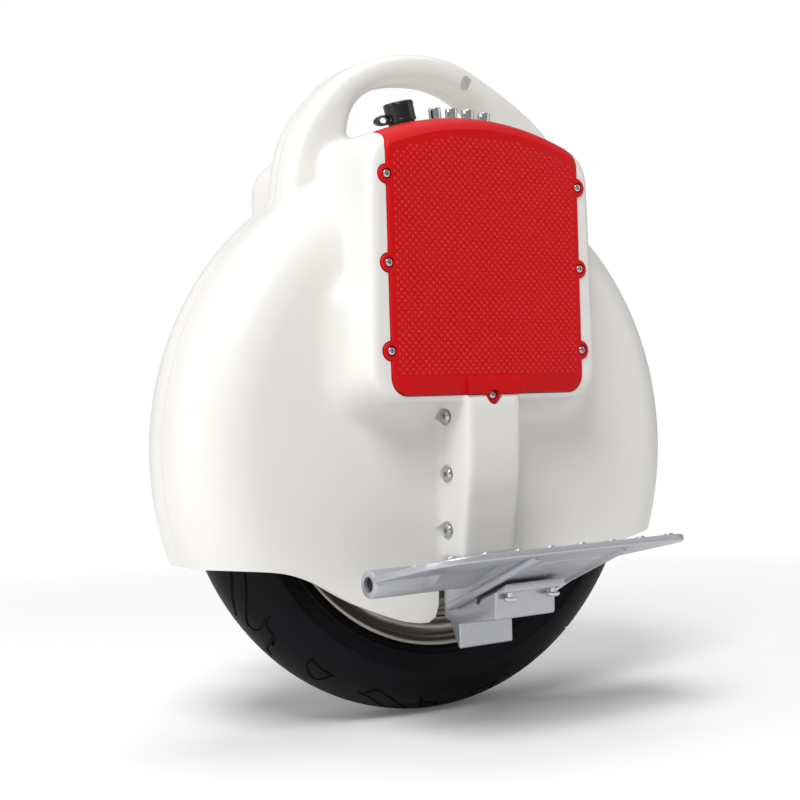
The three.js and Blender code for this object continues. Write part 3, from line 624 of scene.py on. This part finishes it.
red_plastic = finish("red_plastic", (0.57, 0.0015, 0.003), (0.64, 0.003, 0.006), (0.42, 0.52), 1500, 10,
                     0.05,
                     Specular_IOR_Level=0.16)
# The pips are the cover's own red plastic. Their real extra gloss is in roughness and specular, and their
# red is painted a little lighter than the cover's: a painted highlight.
red_pip_gloss_and_painted_highlight = finish("red_pip_painted_highlight", (0.60, 0.003, 0.005), (0.67, 0.005, 0.009), (0.30, 0.36), 1500, 10, 0.02,
                   Specular_IOR_Level=0.35)
for piece, material in ((right_cover, red_plastic), (pip, red_pip_gloss_and_painted_highlight)):
    piece.data.materials.clear()
    piece.data.materials.append(material)

rows = []
row = 0
while FIELD_BOTTOM + row * PIP_ROW < AXLE_Z + FIELD_TOP_RADIUS:
    z = FIELD_BOTTOM + row * PIP_ROW
    half = FIELD_HALF
    if z - AXLE_Z > math.sqrt(FIELD_TOP_RADIUS ** 2 - FIELD_HALF ** 2):
        half = math.sqrt(FIELD_TOP_RADIUS ** 2 - (z - AXLE_Z) ** 2)
    count = int(half / PIP_PITCH - 0.5 * (row % 2))
    number = 2 * count + 1 + row % 2
    start = -(number - 1) / 2 * PIP_PITCH
    if number > 1:
        line = pip.copy()
        line.data = pip.data.copy()
        scene.collection.objects.link(line)
        line.data.transform(Matrix.Translation(Vector((start, -COVER_FACE, z)) * MM))
        repeat = line.modifiers.new("repeat", "ARRAY")
        repeat.use_relative_offset = False
        repeat.use_constant_offset = True
        repeat.constant_offset_displace = (PIP_PITCH * MM, 0, 0)
        repeat.count = number
        rows.append(apply_modifiers(line))
    row += 1
bpy.data.objects.remove(pip)
join(right_cover, *rows)
left_cover = mirrored(right_cover, "cover_left_moulding")
for cover, side in ((right_cover, "right"), (left_cover, "left")):
    fitted(cover, "body", None, "red_cover", f"side_cover_{side}")

# ---- screws --------------------------------------------------------------------------------
# Zinc-plated pan-head screws with a cross recess: small ones in the covers' lugs, larger ones in
# the spine's flank, and two under each pedal that set its level.
def pan_screw(name, head_radius, head_height, shank_radius, length):
    screw = bar(name, 2, head_radius, head_height, (0, 0, head_height / 2), 32)
    edit(screw)
    bpy.ops.mesh.select_all(action="DESELECT")
    leave()
    for edge in screw.data.edges:
        edge.select = all(screw.data.vertices[i].co.z > head_height * MM * 0.9 for i in edge.vertices)
    edit(screw)
    bpy.ops.mesh.bevel(offset=min(head_radius, head_height) * 0.75 * MM, segments=5, affect="EDGES")
    leave()
    weld(screw, bar("shank", 2, shank_radius, length + 0.4, (0, 0, 0.2 - length / 2), 12))
    for tilt in (0, math.pi / 2):
        bpy.ops.object.select_all(action="DESELECT")
        bpy.ops.mesh.primitive_cube_add(size=MM, rotation=(0, 0, tilt),
                                        location=(0, 0, head_height * MM),
                                        scale=(head_radius * 1.2, head_radius * 0.26, head_height * 1.1))
        slot = bpy.context.object
        bpy.ops.object.transform_apply(location=True, rotation=True, scale=True)
        for vertex in slot.data.vertices:
            if vertex.co.z < head_height * MM:
                vertex.co.xy *= 0.45
        cut(screw, slot)
    return smooth_shade(screw, 32)


# Copies a screw to a seat, with its head facing along a direction.
def driven(screw, name, seat, facing, turned=0):
    copy = screw.copy()
    copy.data = screw.data.copy()
    copy.name = copy.data.name = name
    scene.collection.objects.link(copy)
    aim = Vector(facing).to_track_quat("Z", "Y").to_matrix().to_4x4()
    copy.data.transform(Matrix.Translation(Vector(seat) * MM) @ aim @ Matrix.Rotation(turned, 4, "Z"))
    return copy


zinc = finish("zinc_plate", (0.50, 0.50, 0.51), (0.72, 0.72, 0.73), (0.16, 0.30), 2400, 60, 0.06,
              Metallic=1.0)
FLANK_SCREW_RADIUS = 4.3
small_screw = pan_screw("small_screw", SCREW_RADIUS, 1.8, 1.4, 10)
flank_screw = pan_screw("flank_screw", FLANK_SCREW_RADIUS, 2.6, 2.3, 16)
for side, sign in (("right", -1), ("left", 1)):
    for i, (x, z) in enumerate(LUGS):
        screw = driven(small_screw, f"lug_screw_{side}_{i + 1}", (x, sign * 75.3, z), (0, sign, 0),
                       0.7 * i)
        fitted(screw, "body", zinc, "zinc_screw", f"cover_screw_{side}_{i + 1}")
    for i, (out, z) in enumerate(SCREW_ROW):
        screw = driven(flank_screw, f"flank_screw_{side}_{i + 1}", (-20.4, sign * out, z), (-1, 0, 0),
                       0.4 + 0.5 * i)
        fitted(screw, "body", zinc, "zinc_screw", f"shell_screw_{side}_{i + 1}")
bpy.data.objects.remove(small_screw)
bpy.data.objects.remove(flank_screw)

# ---- tyre ----------------------------------------------------------------------------------
# A 14 inch road tyre in near-black rubber. Its tread is a plain crown with shallow moulded grooves
# that repeat eight times a side; the sidewall has a raised band and a few moulding nibs.
TREAD_CENTRE = 151
TREAD_RADIUS = 27
TREAD_STRETCH = 27.8 / 27
TREAD_REPEATS = 8
GROOVE_RADIUS = 1.15
GROOVE_SINK = 0.2


# A piece spun about the wheel's axis from a closed (radius, y) outline.
def spun(name, outline, steps=128):
    piece = drawn(name, [(radius, y, AXLE_Z) for radius, y in outline], "NOTHING")
    edit(piece)
    bpy.ops.mesh.select_all(action="SELECT")
    bpy.ops.mesh.spin(steps=steps, angle=2 * math.pi, center=(0, 0, AXLE_Z * MM), axis=(0, 1, 0))
    bpy.ops.mesh.select_all(action="SELECT")
    bpy.ops.mesh.remove_doubles(threshold=1e-6)
    bpy.ops.mesh.normals_make_consistent(inside=False)
    leave()
    return piece


def both_halves(half):
    return [(r, -y) for r, y in reversed(half)] + half


crown = arc(TREAD_CENTRE, 0, TREAD_RADIUS, 2, 86, 20)
half_tyre = [(r, y * TREAD_STRETCH) for r, y in crown]
half_tyre += [(152.3, 27.75), (151.9, 28.0), (150.2, 28.0), (149.8, 27.5), (146.5, 26.9), (143, 26.0),
              (140.2, 25.1), (139.6, 25.4), (138.6, 25.1), (138.2, 24.6), (136.4, 24.0), (134.9, 23.2),
              (134.1, 22.2), (134.0, 20.5), (127.4, 20.0), (130, 15), (166, 14)]
half_tyre = [(r, min(y, 27.8)) for r, y in half_tyre]
tyre = spun("tyre_casing", both_halves(half_tyre))


# A point on the tread: degrees round the wheel, and millimetres across from the crown.
def on_tread(degrees, across, sink):
    roll = across / TREAD_RADIUS
    radius = TREAD_CENTRE + (TREAD_RADIUS - sink) * math.cos(roll)
    turned = math.radians(degrees)
    return (radius * math.sin(turned), -(TREAD_RADIUS - sink) * TREAD_STRETCH * math.sin(roll),
            AXLE_Z - radius * math.cos(turned))


GROOVES = [
    [(0, 19.4), (3, 18.6), (5.8, 15.2), (8.3, 11.3), (10.9, 7.1), (13.8, 2.2)],
    [(1.6, 20.4), (3.3, 25.4), (6.2, 24.4), (10.4, 18.8), (15.2, 9.1), (16.8, 7.3), (17.9, 9.7), (17.8,
        13.8),
     (16.8, 19.1), (16.0, 24.8)],
    [(16.9, 21), (18.5, 18.8), (20.5, 18.3), (22.2, 10.3), (23.4, 5.5), (25.4, 2.9)],
    [(21.3, 18.1), (22.6, 12.2)],
    [(29.9, 24.7), (30.7, 19.8), (32.7, 14.5), (35.2, 11.9)],
    [(30.3, 24.9), (33, 23.3), (36.7, 22.9), (37.6, 23.3)],
    [(35.4, 12.3), (36.2, 17.4), (36.8, 22.3)],
]
TREAD_START = -24
tubes = []
for side in (1, -1):
    for repeat in range(TREAD_REPEATS):
        turned = TREAD_START + 360 / TREAD_REPEATS * (repeat + (0.5 if side < 0 else 0))
        for groove in GROOVES:
            shape = bpy.data.curves.new("groove", "CURVE")
            shape.dimensions = "3D"
            shape.bevel_depth = GROOVE_RADIUS * MM
            shape.bevel_resolution = 1
            shape.use_fill_caps = True
            route = [on_tread(a + turned, side * s, GROOVE_SINK) for a, s in spline(groove, 3)]
            line = shape.splines.new("POLY")
            line.points.add(len(route) - 1)
            for point, place in zip(line.points, route):
                point.co = (*(Vector(place) * MM), 1)
            tube = bpy.data.objects.new("groove", shape)
            scene.collection.objects.link(tube)
            tubes.append(tube)
choose(*tubes)
bpy.ops.object.convert(target="MESH")
bpy.ops.object.join()
grooves = bpy.context.object
edit(grooves)
bpy.ops.mesh.select_all(action="SELECT")
bpy.ops.mesh.remove_doubles(threshold=1e-6)
bpy.ops.mesh.normals_make_consistent(inside=False)
leave()
cut(tyre, grooves)

# Nibs left by the mould's vents.
nibs = []
for side in (1, -1):
    for i in range(22):
        radius, turned = (150.6, 144, 147.4)[i % 3], math.radians(i * 360 / 22 + 5 * (i % 2))
        out = 26.2 + (radius - 144) * 0.27
        place = Vector((radius * math.sin(turned), side * out, AXLE_Z - radius * math.cos(turned))) * MM
        bpy.ops.object.select_all(action="DESELECT")
        bpy.ops.mesh.primitive_cylinder_add(vertices=8, radius=0.5 * MM, depth=1.8 * MM, location=place,
                                            rotation=(math.pi / 2, 0, 0))
        bpy.ops.object.transform_apply(location=True, rotation=True, scale=True)
        nibs.append(round_edges(bpy.context.object, 0.15, 1))
join(tyre, *nibs)
smooth_shade(tyre, 38)
rubber = finish("tyre_rubber", (0.0022, 0.0025, 0.0040), (0.0050, 0.0054, 0.0078), (0.42, 0.58), 700, 16,
                0.2,
                Specular_IOR_Level=0.14)
fitted(tyre, "wheel", rubber, "tyre", "tyre")

# ---- rim and hub ---------------------------------------------------------------------------
# A rolled steel rim with a bright curled lip, on a drum that two turned covers close. Inside sit
# the magnets and the stator of the hub motor, two bearings, and the axle with its nuts.
half_rim = [(127, 16.5), (127, 20.6), (128.2, 21.2), (130.2, 21.7), (131.6, 22.6), (132.9, 22.5), (133.6,
    23.0),
            (133.5, 23.7), (132.6, 24.0), (131.2, 23.95), (130.0, 23.3), (129.2, 22.0), (128.2, 20.3),
            (126.9, 18.8),
            (125.2, 17.9), (123.3, 17.5), (121.4, 17.7), (119.8, 18.5), (118.5, 19.7), (117.2, 20.7),
            (115.7, 21.0)]
half_rim = [(120.5, 12), *half_rim]
rim = spun("rim_rolled", both_halves(half_rim))
smooth_shade(rim, 40)
COVER_RIM = 115.2
half_cover = [(17.8, 14.5), (24, 14.5), (26, 17), (COVER_RIM, 16), (COVER_RIM, 20.4), (114.6, 21), (112,
    21), (111.2, 20.5),
              (109, 20.5), (108.2, 21.2), (103.5, 22.4), (102.5, 22.1), (96, 22.6), (60, 23.4), (40,
                  23.8),
              (31, 24.2), (28.5, 25.4), (24, 26), (17.8, 26)]
right_hub = spun("hub_cover_right_turned", [(r, -y) for r, y in half_cover], 96)
smooth_shade(right_hub, 30)
left_hub = mirrored(right_hub, "hub_cover_left_turned")

# Fine concentric marks left by turning, read from the distance to the axle.
turning_marks, nodes, links, inlet, outlet = node_group("turning_marks", {"Fineness": 1500}, ("Marks",))
coordinates, centred = nodes.new("ShaderNodeTexCoord"), nodes.new("ShaderNodeMapping")
centred.inputs["Location"].default_value = (0, 0, -AXLE_Z * MM)
flat = nodes.new("ShaderNodeVectorMath")
flat.operation = "MULTIPLY"
flat.inputs[1].default_value = (1, 0, 1)
reach = nodes.new("ShaderNodeVectorMath")
reach.operation = "LENGTH"
marks = nodes.new("ShaderNodeTexNoise")
marks.noise_dimensions = "1D"
links.new(coordinates.outputs["Object"], centred.inputs["Vector"])
links.new(centred.outputs["Vector"], flat.inputs[0])
links.new(flat.outputs["Vector"], reach.inputs[0])
links.new(reach.outputs["Value"], marks.inputs["W"])
links.new(inlet.outputs["Fineness"], marks.inputs["Scale"])
links.new(marks.outputs["Fac"], outlet.inputs["Marks"])


# Adds turning marks to a finish, in relief and in gloss.
def add_turning(material, fineness, gloss):
    nodes, links = material.node_tree.nodes, material.node_tree.links
    marked = nodes.new("ShaderNodeGroup")
    marked.node_tree = turning_marks
    marked.inputs["Fineness"].default_value = fineness
    sheen = nodes["Map Range"]
    sheen.inputs["To Min"].default_value, sheen.inputs["To Max"].default_value = gloss
    links.new(marked.outputs["Marks"], sheen.inputs["Value"])
    links.new(marked.outputs["Marks"], nodes["Bump"].inputs["Height"])
    return material


rim_steel = add_turning(finish("rim_steel", (0.30, 0.27, 0.245), (0.42, 0.39, 0.36), (0.2, 0.4),
                               relief=0.03,
                               Metallic=1.0), 3000, (0.26, 0.36))
hub_alloy = add_turning(finish("hub_alloy", (0.20, 0.185, 0.17), (0.30, 0.285, 0.265), (0.3, 0.5),
                               relief=0.06,
                               Metallic=1.0), 2600, (0.3, 0.44))
fitted(rim, "wheel", rim_steel, "rim_steel", "rim")
for hub, side in ((right_hub, "right"), (left_hub, "left")):
    fitted(hub, "wheel", hub_alloy, "rim_steel", f"motor_cover_{side}")


# Gives a CAD node that is right as it stands a material.
def dressed(node, material):
    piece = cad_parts[node]
    piece.data.materials.clear()
    piece.data.materials.append(material)


ground_steel = finish("ground_steel", (0.42, 0.42, 0.43), (0.6, 0.6, 0.61), (0.2, 0.34), 1800, 40, 0.05,
                      Metallic=1.0)
dressed("axle", ground_steel)
for side in ("right", "left"):
    dressed(f"axle_nut_{side}", zinc)
    dressed(f"wheel_bearing_{side}", ground_steel)
dressed("stator", finish("copper_windings", (0.42, 0.14, 0.05), (0.62, 0.25, 0.11), (0.3, 0.5), 2600,
                         120, 0.5, Metallic=0.9))
dressed("magnet_ring", finish("nickel_magnet", (0.12, 0.12, 0.125), (0.22, 0.22, 0.23), (0.3, 0.45),
                              1200, 60, 0.1,
                              Metallic=0.8))

# ---- hangers -------------------------------------------------------------------------------
# Cast aluminium brackets in silver paint, bolted over the axle under each spine. The foot at the
# bottom carries the pedal's hinge lug and the two screws that set the pedal's level.
HANGER_HALF = 21
FOOT_HALF = 23.4
HINGE_OUT, HINGE_Z = 78, 97.4
BARREL_RADIUS = 8.5
BARREL_BORE = 4.75
ADJUSTER_X, ADJUSTER_OUT = 16.6, 109
BELLY_SLOPE = 0.435


# Height of the pedal's sloping belly at a distance out, and of the foot just under it.
def belly_z(out):
    return 71.2 + (out - 55.3) * BELLY_SLOPE


def foot_z(out):
    return belly_z(out) - 2.6


hanger = round_edges(cross_slab("hanger_right_casting", [
    (50, 66), (64, 64.3), (103.5, 71), (104, 87), (114, 88.3), (114, foot_z(114)), (88, foot_z(88)),
    (86, foot_z(84) - 2), (HINGE_OUT - 6, HINGE_Z - 14), (60, 99), (50, 99)], FOOT_HALF), 1.5, 4)
low_block = round_edges(cross_slab("low_block", [
    (63.5, 48.5), (63.5, 80), (46, 80), (46, 77), (61, 48.5)], HANGER_HALF), 1.3, 4)
upright = round_edges(cross_slab("upright", [(65.5, 78), (65.5, 201), (48.6, 201), (48.6, 78)], 17.5),
                      1.2, 2)
web = cross_slab("web", [(58, 74), (84, 80), (84, HINGE_Z), (58, 99)], FOOT_HALF - 0.3)
lug = round_edges(bar("lug", 0, BARREL_RADIUS, 2 * FOOT_HALF, (0, -HINGE_OUT, HINGE_Z), 48), 0.9, 3)
weld(hanger, low_block, upright, web, lug)
cut(hanger, bar("bore", 0, BARREL_BORE, 80, (0, -HINGE_OUT, HINGE_Z), 40),
    bar("axle_hole", 1, 9.3, 40, (0, -65.5, AXLE_Z), 40))
for side in (-1, 1):
    cut(hanger, bar("adjuster_hole", 2, 2.2, 40, (side * ADJUSTER_X, -ADJUSTER_OUT, 92), 20))
for out, z in SCREW_ROW:
    cut(hanger, bar("screw_hole", 0, 2.6, 40, (-17, -out, z), 16))
smooth_shade(hanger, 30)
left_hanger = mirrored(hanger, "hanger_left_casting")

# Bright flakes of metal paint, as a mask over the surface.
metal_flake, nodes, links, inlet, outlet = node_group("metal_flake", {"Fineness": 1400}, ("Flakes",))
coordinates, cells = nodes.new("ShaderNodeTexCoord"), nodes.new("ShaderNodeTexVoronoi")
pick, share = nodes.new("ShaderNodeSeparateColor"), nodes.new("ShaderNodeMapRange")
share.inputs["From Min"].default_value = 0.86
links.new(coordinates.outputs["Object"], cells.inputs["Vector"])
links.new(inlet.outputs["Fineness"], cells.inputs["Scale"])
links.new(cells.outputs["Color"], pick.inputs["Color"])
links.new(pick.outputs["Red"], share.inputs["Value"])
links.new(share.outputs["Result"], outlet.inputs["Flakes"])


def add_flake(material, bright, fineness):
    nodes, links = material.node_tree.nodes, material.node_tree.links
    flakes = nodes.new("ShaderNodeGroup")
    flakes.node_tree = metal_flake
    flakes.inputs["Fineness"].default_value = fineness
    lit = nodes.new("ShaderNodeMix")
    lit.data_type = "RGBA"
    lit.inputs[7].default_value = (*bright, 1)
    links.new(flakes.outputs["Flakes"], lit.inputs["Factor"])
    links.new(nodes["Mix"].outputs[2], lit.inputs[6])
    links.new(lit.outputs[2], nodes["Principled BSDF"].inputs["Base Color"])
    return material


silver_casting = add_flake(finish("silver_casting", (0.46, 0.47, 0.505), (0.55, 0.56, 0.595), (0.33,
    0.42),
                                  1200, 24, 0.08, Metallic=0.65), (0.74, 0.74, 0.76), 3600)
for bracket, side in ((hanger, "right"), (left_hanger, "left")):
    fitted(bracket, "body", silver_casting, "cast_alloy", f"hanger_{side}")

# ---- pedals --------------------------------------------------------------------------------
# Cast aluminium treads in the same silver paint, each turning on a pin through two long barrels.
# Round studs stand on top; below, two ribbed cheeks and a sloping belly rest on the level screws.
PEDAL_TILT = math.radians(12.5)
PEDAL_HALF = 98
PEDAL_REACH = 82
PEDAL_CORNER = 28
PLATE_TOP, PLATE_BOTTOM = 4.1, -0.1
CHEEK_INNER, CHEEK_THICK = 24.6, 3.6
STUD_RADIUS, STUD_HEIGHT = 2.9, 1.9
STUD_PITCH = 24
STUD_ROWS = (13, 31, 49, 67)


# A point of the belly in the pedal's own frame, level with the hinge at the origin.
def level(out, z):
    along, up = out - HINGE_OUT, z - HINGE_Z
    return (along * math.cos(PEDAL_TILT) + up * math.sin(PEDAL_TILT),
            -along * math.sin(PEDAL_TILT) + up * math.cos(PEDAL_TILT))


plate_outline = [
    (-PEDAL_HALF, 0), *arc(-PEDAL_HALF + PEDAL_CORNER, -PEDAL_REACH + PEDAL_CORNER, PEDAL_CORNER, 180,
                           270, 14),
    *arc(PEDAL_HALF - PEDAL_CORNER, -PEDAL_REACH + PEDAL_CORNER, PEDAL_CORNER, 270, 360, 14),
    (PEDAL_HALF, 0)]
pedal = loft("pedal_right_casting", [[(x, y, z) for x, y in plate_outline] for z in (PLATE_BOTTOM,
    PLATE_TOP)])
round_edges(pedal, 1.1, 3)
throat = cross_slab("throat", [(-20, -20), (12, -20), (12, 20), (-20, 20)], CHEEK_INNER)
cut(pedal, throat)
FAIRING = [(PEDAL_HALF - 1, 9), (86, 12.5), (62, 15), (58.5, 20), (40, 27), (CHEEK_INNER + 1, 39)]
fairing = loft("fairing", [[(-x, 0.5, -8.1), (-x, -reach * 0.45, -5.6), (-x, -reach, 0.4),
                            (-x, -reach, 1.5), (-x, 0.5, 2)] for x, reach in FAIRING])
weld(pedal, fairing)
CHEEK_FRONT = CHEEK_INNER + 13.4
BARREL_FRONT = 46
for side, end, cheek_face in ((-1, PEDAL_HALF, CHEEK_INNER), (1, BARREL_FRONT, CHEEK_FRONT)):
    length = end - CHEEK_INNER
    barrel = bar("barrel", 0, BARREL_RADIUS, length, (side * (CHEEK_INNER + length / 2), 0, 0), 48)
    weld(pedal, round_edges(barrel, 1.0, 3))
    cheek_x = side * (cheek_face + CHEEK_THICK / 2)
    low_inner, low_outer = level(60, belly_z(60)), level(152, belly_z(152))
    cheek = cross_slab("cheek", [(-6, 2), (PEDAL_REACH - 7, 2), low_outer, low_inner, (-14, -12)],
                       CHEEK_THICK / 2, cheek_x)
    weld(pedal, cheek)
    start = Vector((cheek_x + side * 0.8, -low_inner[0] - 1.5, low_inner[1] + 1.4))
    stop = Vector((cheek_x + side * 0.8, -low_outer[0] + 3, low_outer[1] + 0.2))
    rib = round_edges(bar("rib", 2, 2.5, (stop - start).length, (0, 0, 0), 24), 1.2, 3)
    aim = (stop - start).to_track_quat("Z", "Y").to_matrix().to_4x4()
    rib.data.transform(Matrix.Translation((start + stop) / 2 * MM) @ aim)
    weld(pedal, rib)
belly = cross_slab("belly", [level(152, belly_z(152)), level(152, belly_z(152) + 3), level(86,
    belly_z(86) + 3),
                             level(86, belly_z(86))], (CHEEK_INNER + CHEEK_FRONT) / 2 + 1,
                             (CHEEK_FRONT - CHEEK_INNER) / 2)
name_plate = cross_slab("name_plate", [level(140, belly_z(140) - 0.35), level(140, belly_z(140) + 1),
                                       level(119, belly_z(119) + 1), level(119, belly_z(119) - 0.35)],
                                       23, 7)
weld(pedal, belly, round_edges(name_plate, 0.25, 2))
for row, reach in enumerate(STUD_ROWS):
    for i in range(-4, 5):
        x = (i + 0.5 * (row % 2)) * STUD_PITCH
        corner_x, corner_y = abs(x) - PEDAL_HALF + PEDAL_CORNER, reach - PEDAL_REACH + PEDAL_CORNER
        if corner_x > 0 and corner_y > 0 and math.hypot(corner_x,
                                                        corner_y) > PEDAL_CORNER - STUD_RADIUS - 1.5:
            continue
        if abs(x) > PEDAL_HALF - STUD_RADIUS - 1.5 or (abs(x) < CHEEK_INNER + STUD_RADIUS and reach < 16):
            continue
        stud = bar("stud", 2, STUD_RADIUS, STUD_HEIGHT + 1, (x, -reach,
            PLATE_TOP + STUD_HEIGHT / 2 - 0.5), 16)
        weld(pedal, round_edges(stud, 0.6, 2))
cut(pedal, bar("pin_bore", 0, BARREL_BORE, 300, (0, 0, 0), 40))
pedal.data.transform(Matrix.Translation(Vector((0, -HINGE_OUT,
                                                HINGE_Z)) * MM) @ Matrix.Rotation(-PEDAL_TILT, 4, "X"))
smooth_shade(pedal, 30)
left_pedal = mirrored(pedal, "pedal_left_casting")
for tread, side in ((pedal, "right"), (left_pedal, "left")):
    fitted(tread, f"{side}_pedal", silver_casting, "cast_alloy", f"pedal_{side}")

black_steel = finish("blackened_steel", (0.02, 0.02, 0.021), (0.05, 0.05, 0.052), (0.35, 0.5), 1800, 50,
                     0.1, Metallic=0.9)
level_screw = pan_screw("level_screw", 4.5, 2.4, 1.9, 8.4)
for side, sign in (("right", -1), ("left", 1)):
    dressed(f"pedal_pin_{side}", black_steel)
    for i, x in enumerate((-ADJUSTER_X, ADJUSTER_X)):
        screw = driven(level_screw, f"level_screw_{side}_{i + 1}", (x, sign * ADJUSTER_OUT, 84.7), (0, 0,
            -1), 0.5 + i)
        fitted(screw, "body", zinc, "zinc_screw", f"pedal_adjuster_{side}_{i + 1}")
bpy.data.objects.remove(level_screw)

# ---- deck fittings -------------------------------------------------------------------------
# Beside the handle: the charge port under a glossy black rubber cap with a pull loop, four chrome
# light bezels with clear lenses, and the power button in its chrome ring.
CAP_RADIUS = 9.6
CAP_SEAT, CAP_TOP = 1.3, 13.8
cap = round_edges(bar("charge_cap_rubber", 2, CAP_RADIUS - 0.25, CAP_TOP - CAP_SEAT, (0, 0,
    (CAP_TOP + CAP_SEAT) / 2), 64),
                  0.9, 4)
collar = round_edges(bar("collar", 2, CAP_RADIUS, 2.2, (0, 0, CAP_SEAT + 1.1), 64), 0.5, 3)
crown_ring = round_edges(bar("crown_ring", 2, CAP_RADIUS, 1.8, (0, 0, CAP_TOP - 1.8), 64), 0.6, 3)
weld(cap, collar, crown_ring)
cut(cap, bar("cap_bore", 2, PORT_RADIUS - 1.2, 8.4, (0, 0, 3.9), 48),
    round_edges(bar("cap_dish", 2, CAP_RADIUS - 2.2, 2, (0, 0, CAP_TOP + 0.5), 48), 0.3, 2))
bpy.ops.object.select_all(action="DESELECT")
bpy.ops.mesh.primitive_torus_add(major_radius=4.1 * MM, minor_radius=1.25 * MM, major_segments=48,
                                 minor_segments=16,
                                 location=Vector((-CAP_RADIUS - 3.6, 0, 4.9)) * MM,
                                 rotation=(math.pi / 2, 0, 0))
loop = bpy.context.object
bpy.ops.object.transform_apply(location=True, rotation=True, scale=True)
for vertex in loop.data.vertices:
    vertex.co.y *= 2.6
    vertex.co.x = (vertex.co.x + CAP_RADIUS * MM) * 1.18 - CAP_RADIUS * MM
    vertex.co.z = (vertex.co.z - 4.9 * MM) * 0.62 + 4.2 * MM
weld(cap, loop)
on_deck(cap, PORT_X)
smooth_shade(cap, 40)
cap_rubber = finish("cap_rubber", (0.006, 0.006, 0.007), (0.011, 0.011, 0.012), (0.14, 0.26), 1600, 40,
                    0.05)
fitted(cap, "port_cap", cap_rubber, "black_rubber", "charge_port_cap")
dressed("charge_port", finish("port_plastic", (0.012, 0.012, 0.013), (0.02, 0.02, 0.021), (0.4, 0.55),
                              1400, 30, 0.15))

chrome = finish("chrome_plate", (0.66, 0.66, 0.67), (0.74, 0.74, 0.75), (0.05, 0.10), 2600, 50, 0.02,
                Metallic=1.0)
lens_plastic = finish("lens_plastic", (0.55, 0.56, 0.57), (0.66, 0.67, 0.68), (0.12, 0.2), 2000, 60, 0.03)
for i, x in enumerate(LED_X):
    bezel = round_edges(bar(f"light_bezel_{i + 1}", 2, LED_RADIUS, 8, (0, 0, 4.3), 48), 0.55, 4)
    groove = bar("groove", 2, LED_RADIUS + 1, 0.7, (0, 0, 1.6), 48)
    cut(groove, bar("groove_core", 2, LED_RADIUS - 0.35, 2, (0, 0, 1.6), 48))
    cut(bezel, groove, round_edges(bar("lens_seat", 2, LED_RADIUS - 1.1, 2.4, (0, 0, 8.3), 40), 0.2, 2))
    weld(bezel, bar("stem", 2, LED_RADIUS - 1, 12, (0, 0, -5), 32))
    fitted(smooth_shade(on_deck(bezel, x), 32), "body", chrome, "chrome", f"led_{i + 1}")
    lens = round_edges(bar(f"light_lens_{i + 1}", 2, LED_RADIUS - 1.3, 1.2, (0, 0, 7.75), 40), 0.5, 4, 60)
    fitted(smooth_shade(on_deck(lens, x), 40), "body", lens_plastic, "chrome")

ring = round_edges(bar("button_ring", 2, BUTTON_RADIUS + 2, 2, (0, 0, 1.3), 64), 0.7, 4)
weld(ring, bar("button_barrel", 2, BUTTON_RADIUS, 14, (0, 0, -6), 48))
cut(ring, bar("button_way", 2, BUTTON_RADIUS - 2, 12, (0, 0, 1), 48))
fitted(smooth_shade(on_deck(ring, BUTTON_X), 32), "body", chrome, "chrome", "power_button_bezel")
button = round_edges(bar("power_button_cap", 2, BUTTON_RADIUS - 2.3, 5, (0, 0, 1.8), 48), 0.7, 4)
cut(button, bar("button_dimple", 2, 2.2, 0.8, (0, 0, 4.3), 40))
fitted(smooth_shade(on_deck(button, BUTTON_X), 32), "button", cap_rubber, "black_rubber", "power_button")

# ---- electronics ---------------------------------------------------------------------------
# Behind the covers: the motor controller's board on its finned heatsink on the right, and the
# battery in blue shrink wrap on the left. All three are hidden while the covers are on.
dressed("controller_heatsink", finish("anodised_alloy", (0.34, 0.34, 0.35), (0.44, 0.44, 0.45), (0.35,
    0.5), 1200, 30, 0.1,
                                      Metallic=0.9))
dressed("controller_board", finish("board_laminate", (0.008, 0.075, 0.028), (0.02, 0.14, 0.055), (0.3,
    0.45), 900, 150, 0.2))
dressed("battery_pack", finish("shrink_wrap", (0.008, 0.05, 0.24), (0.014, 0.08, 0.34), (0.18, 0.4), 300,
                               45, 0.4))
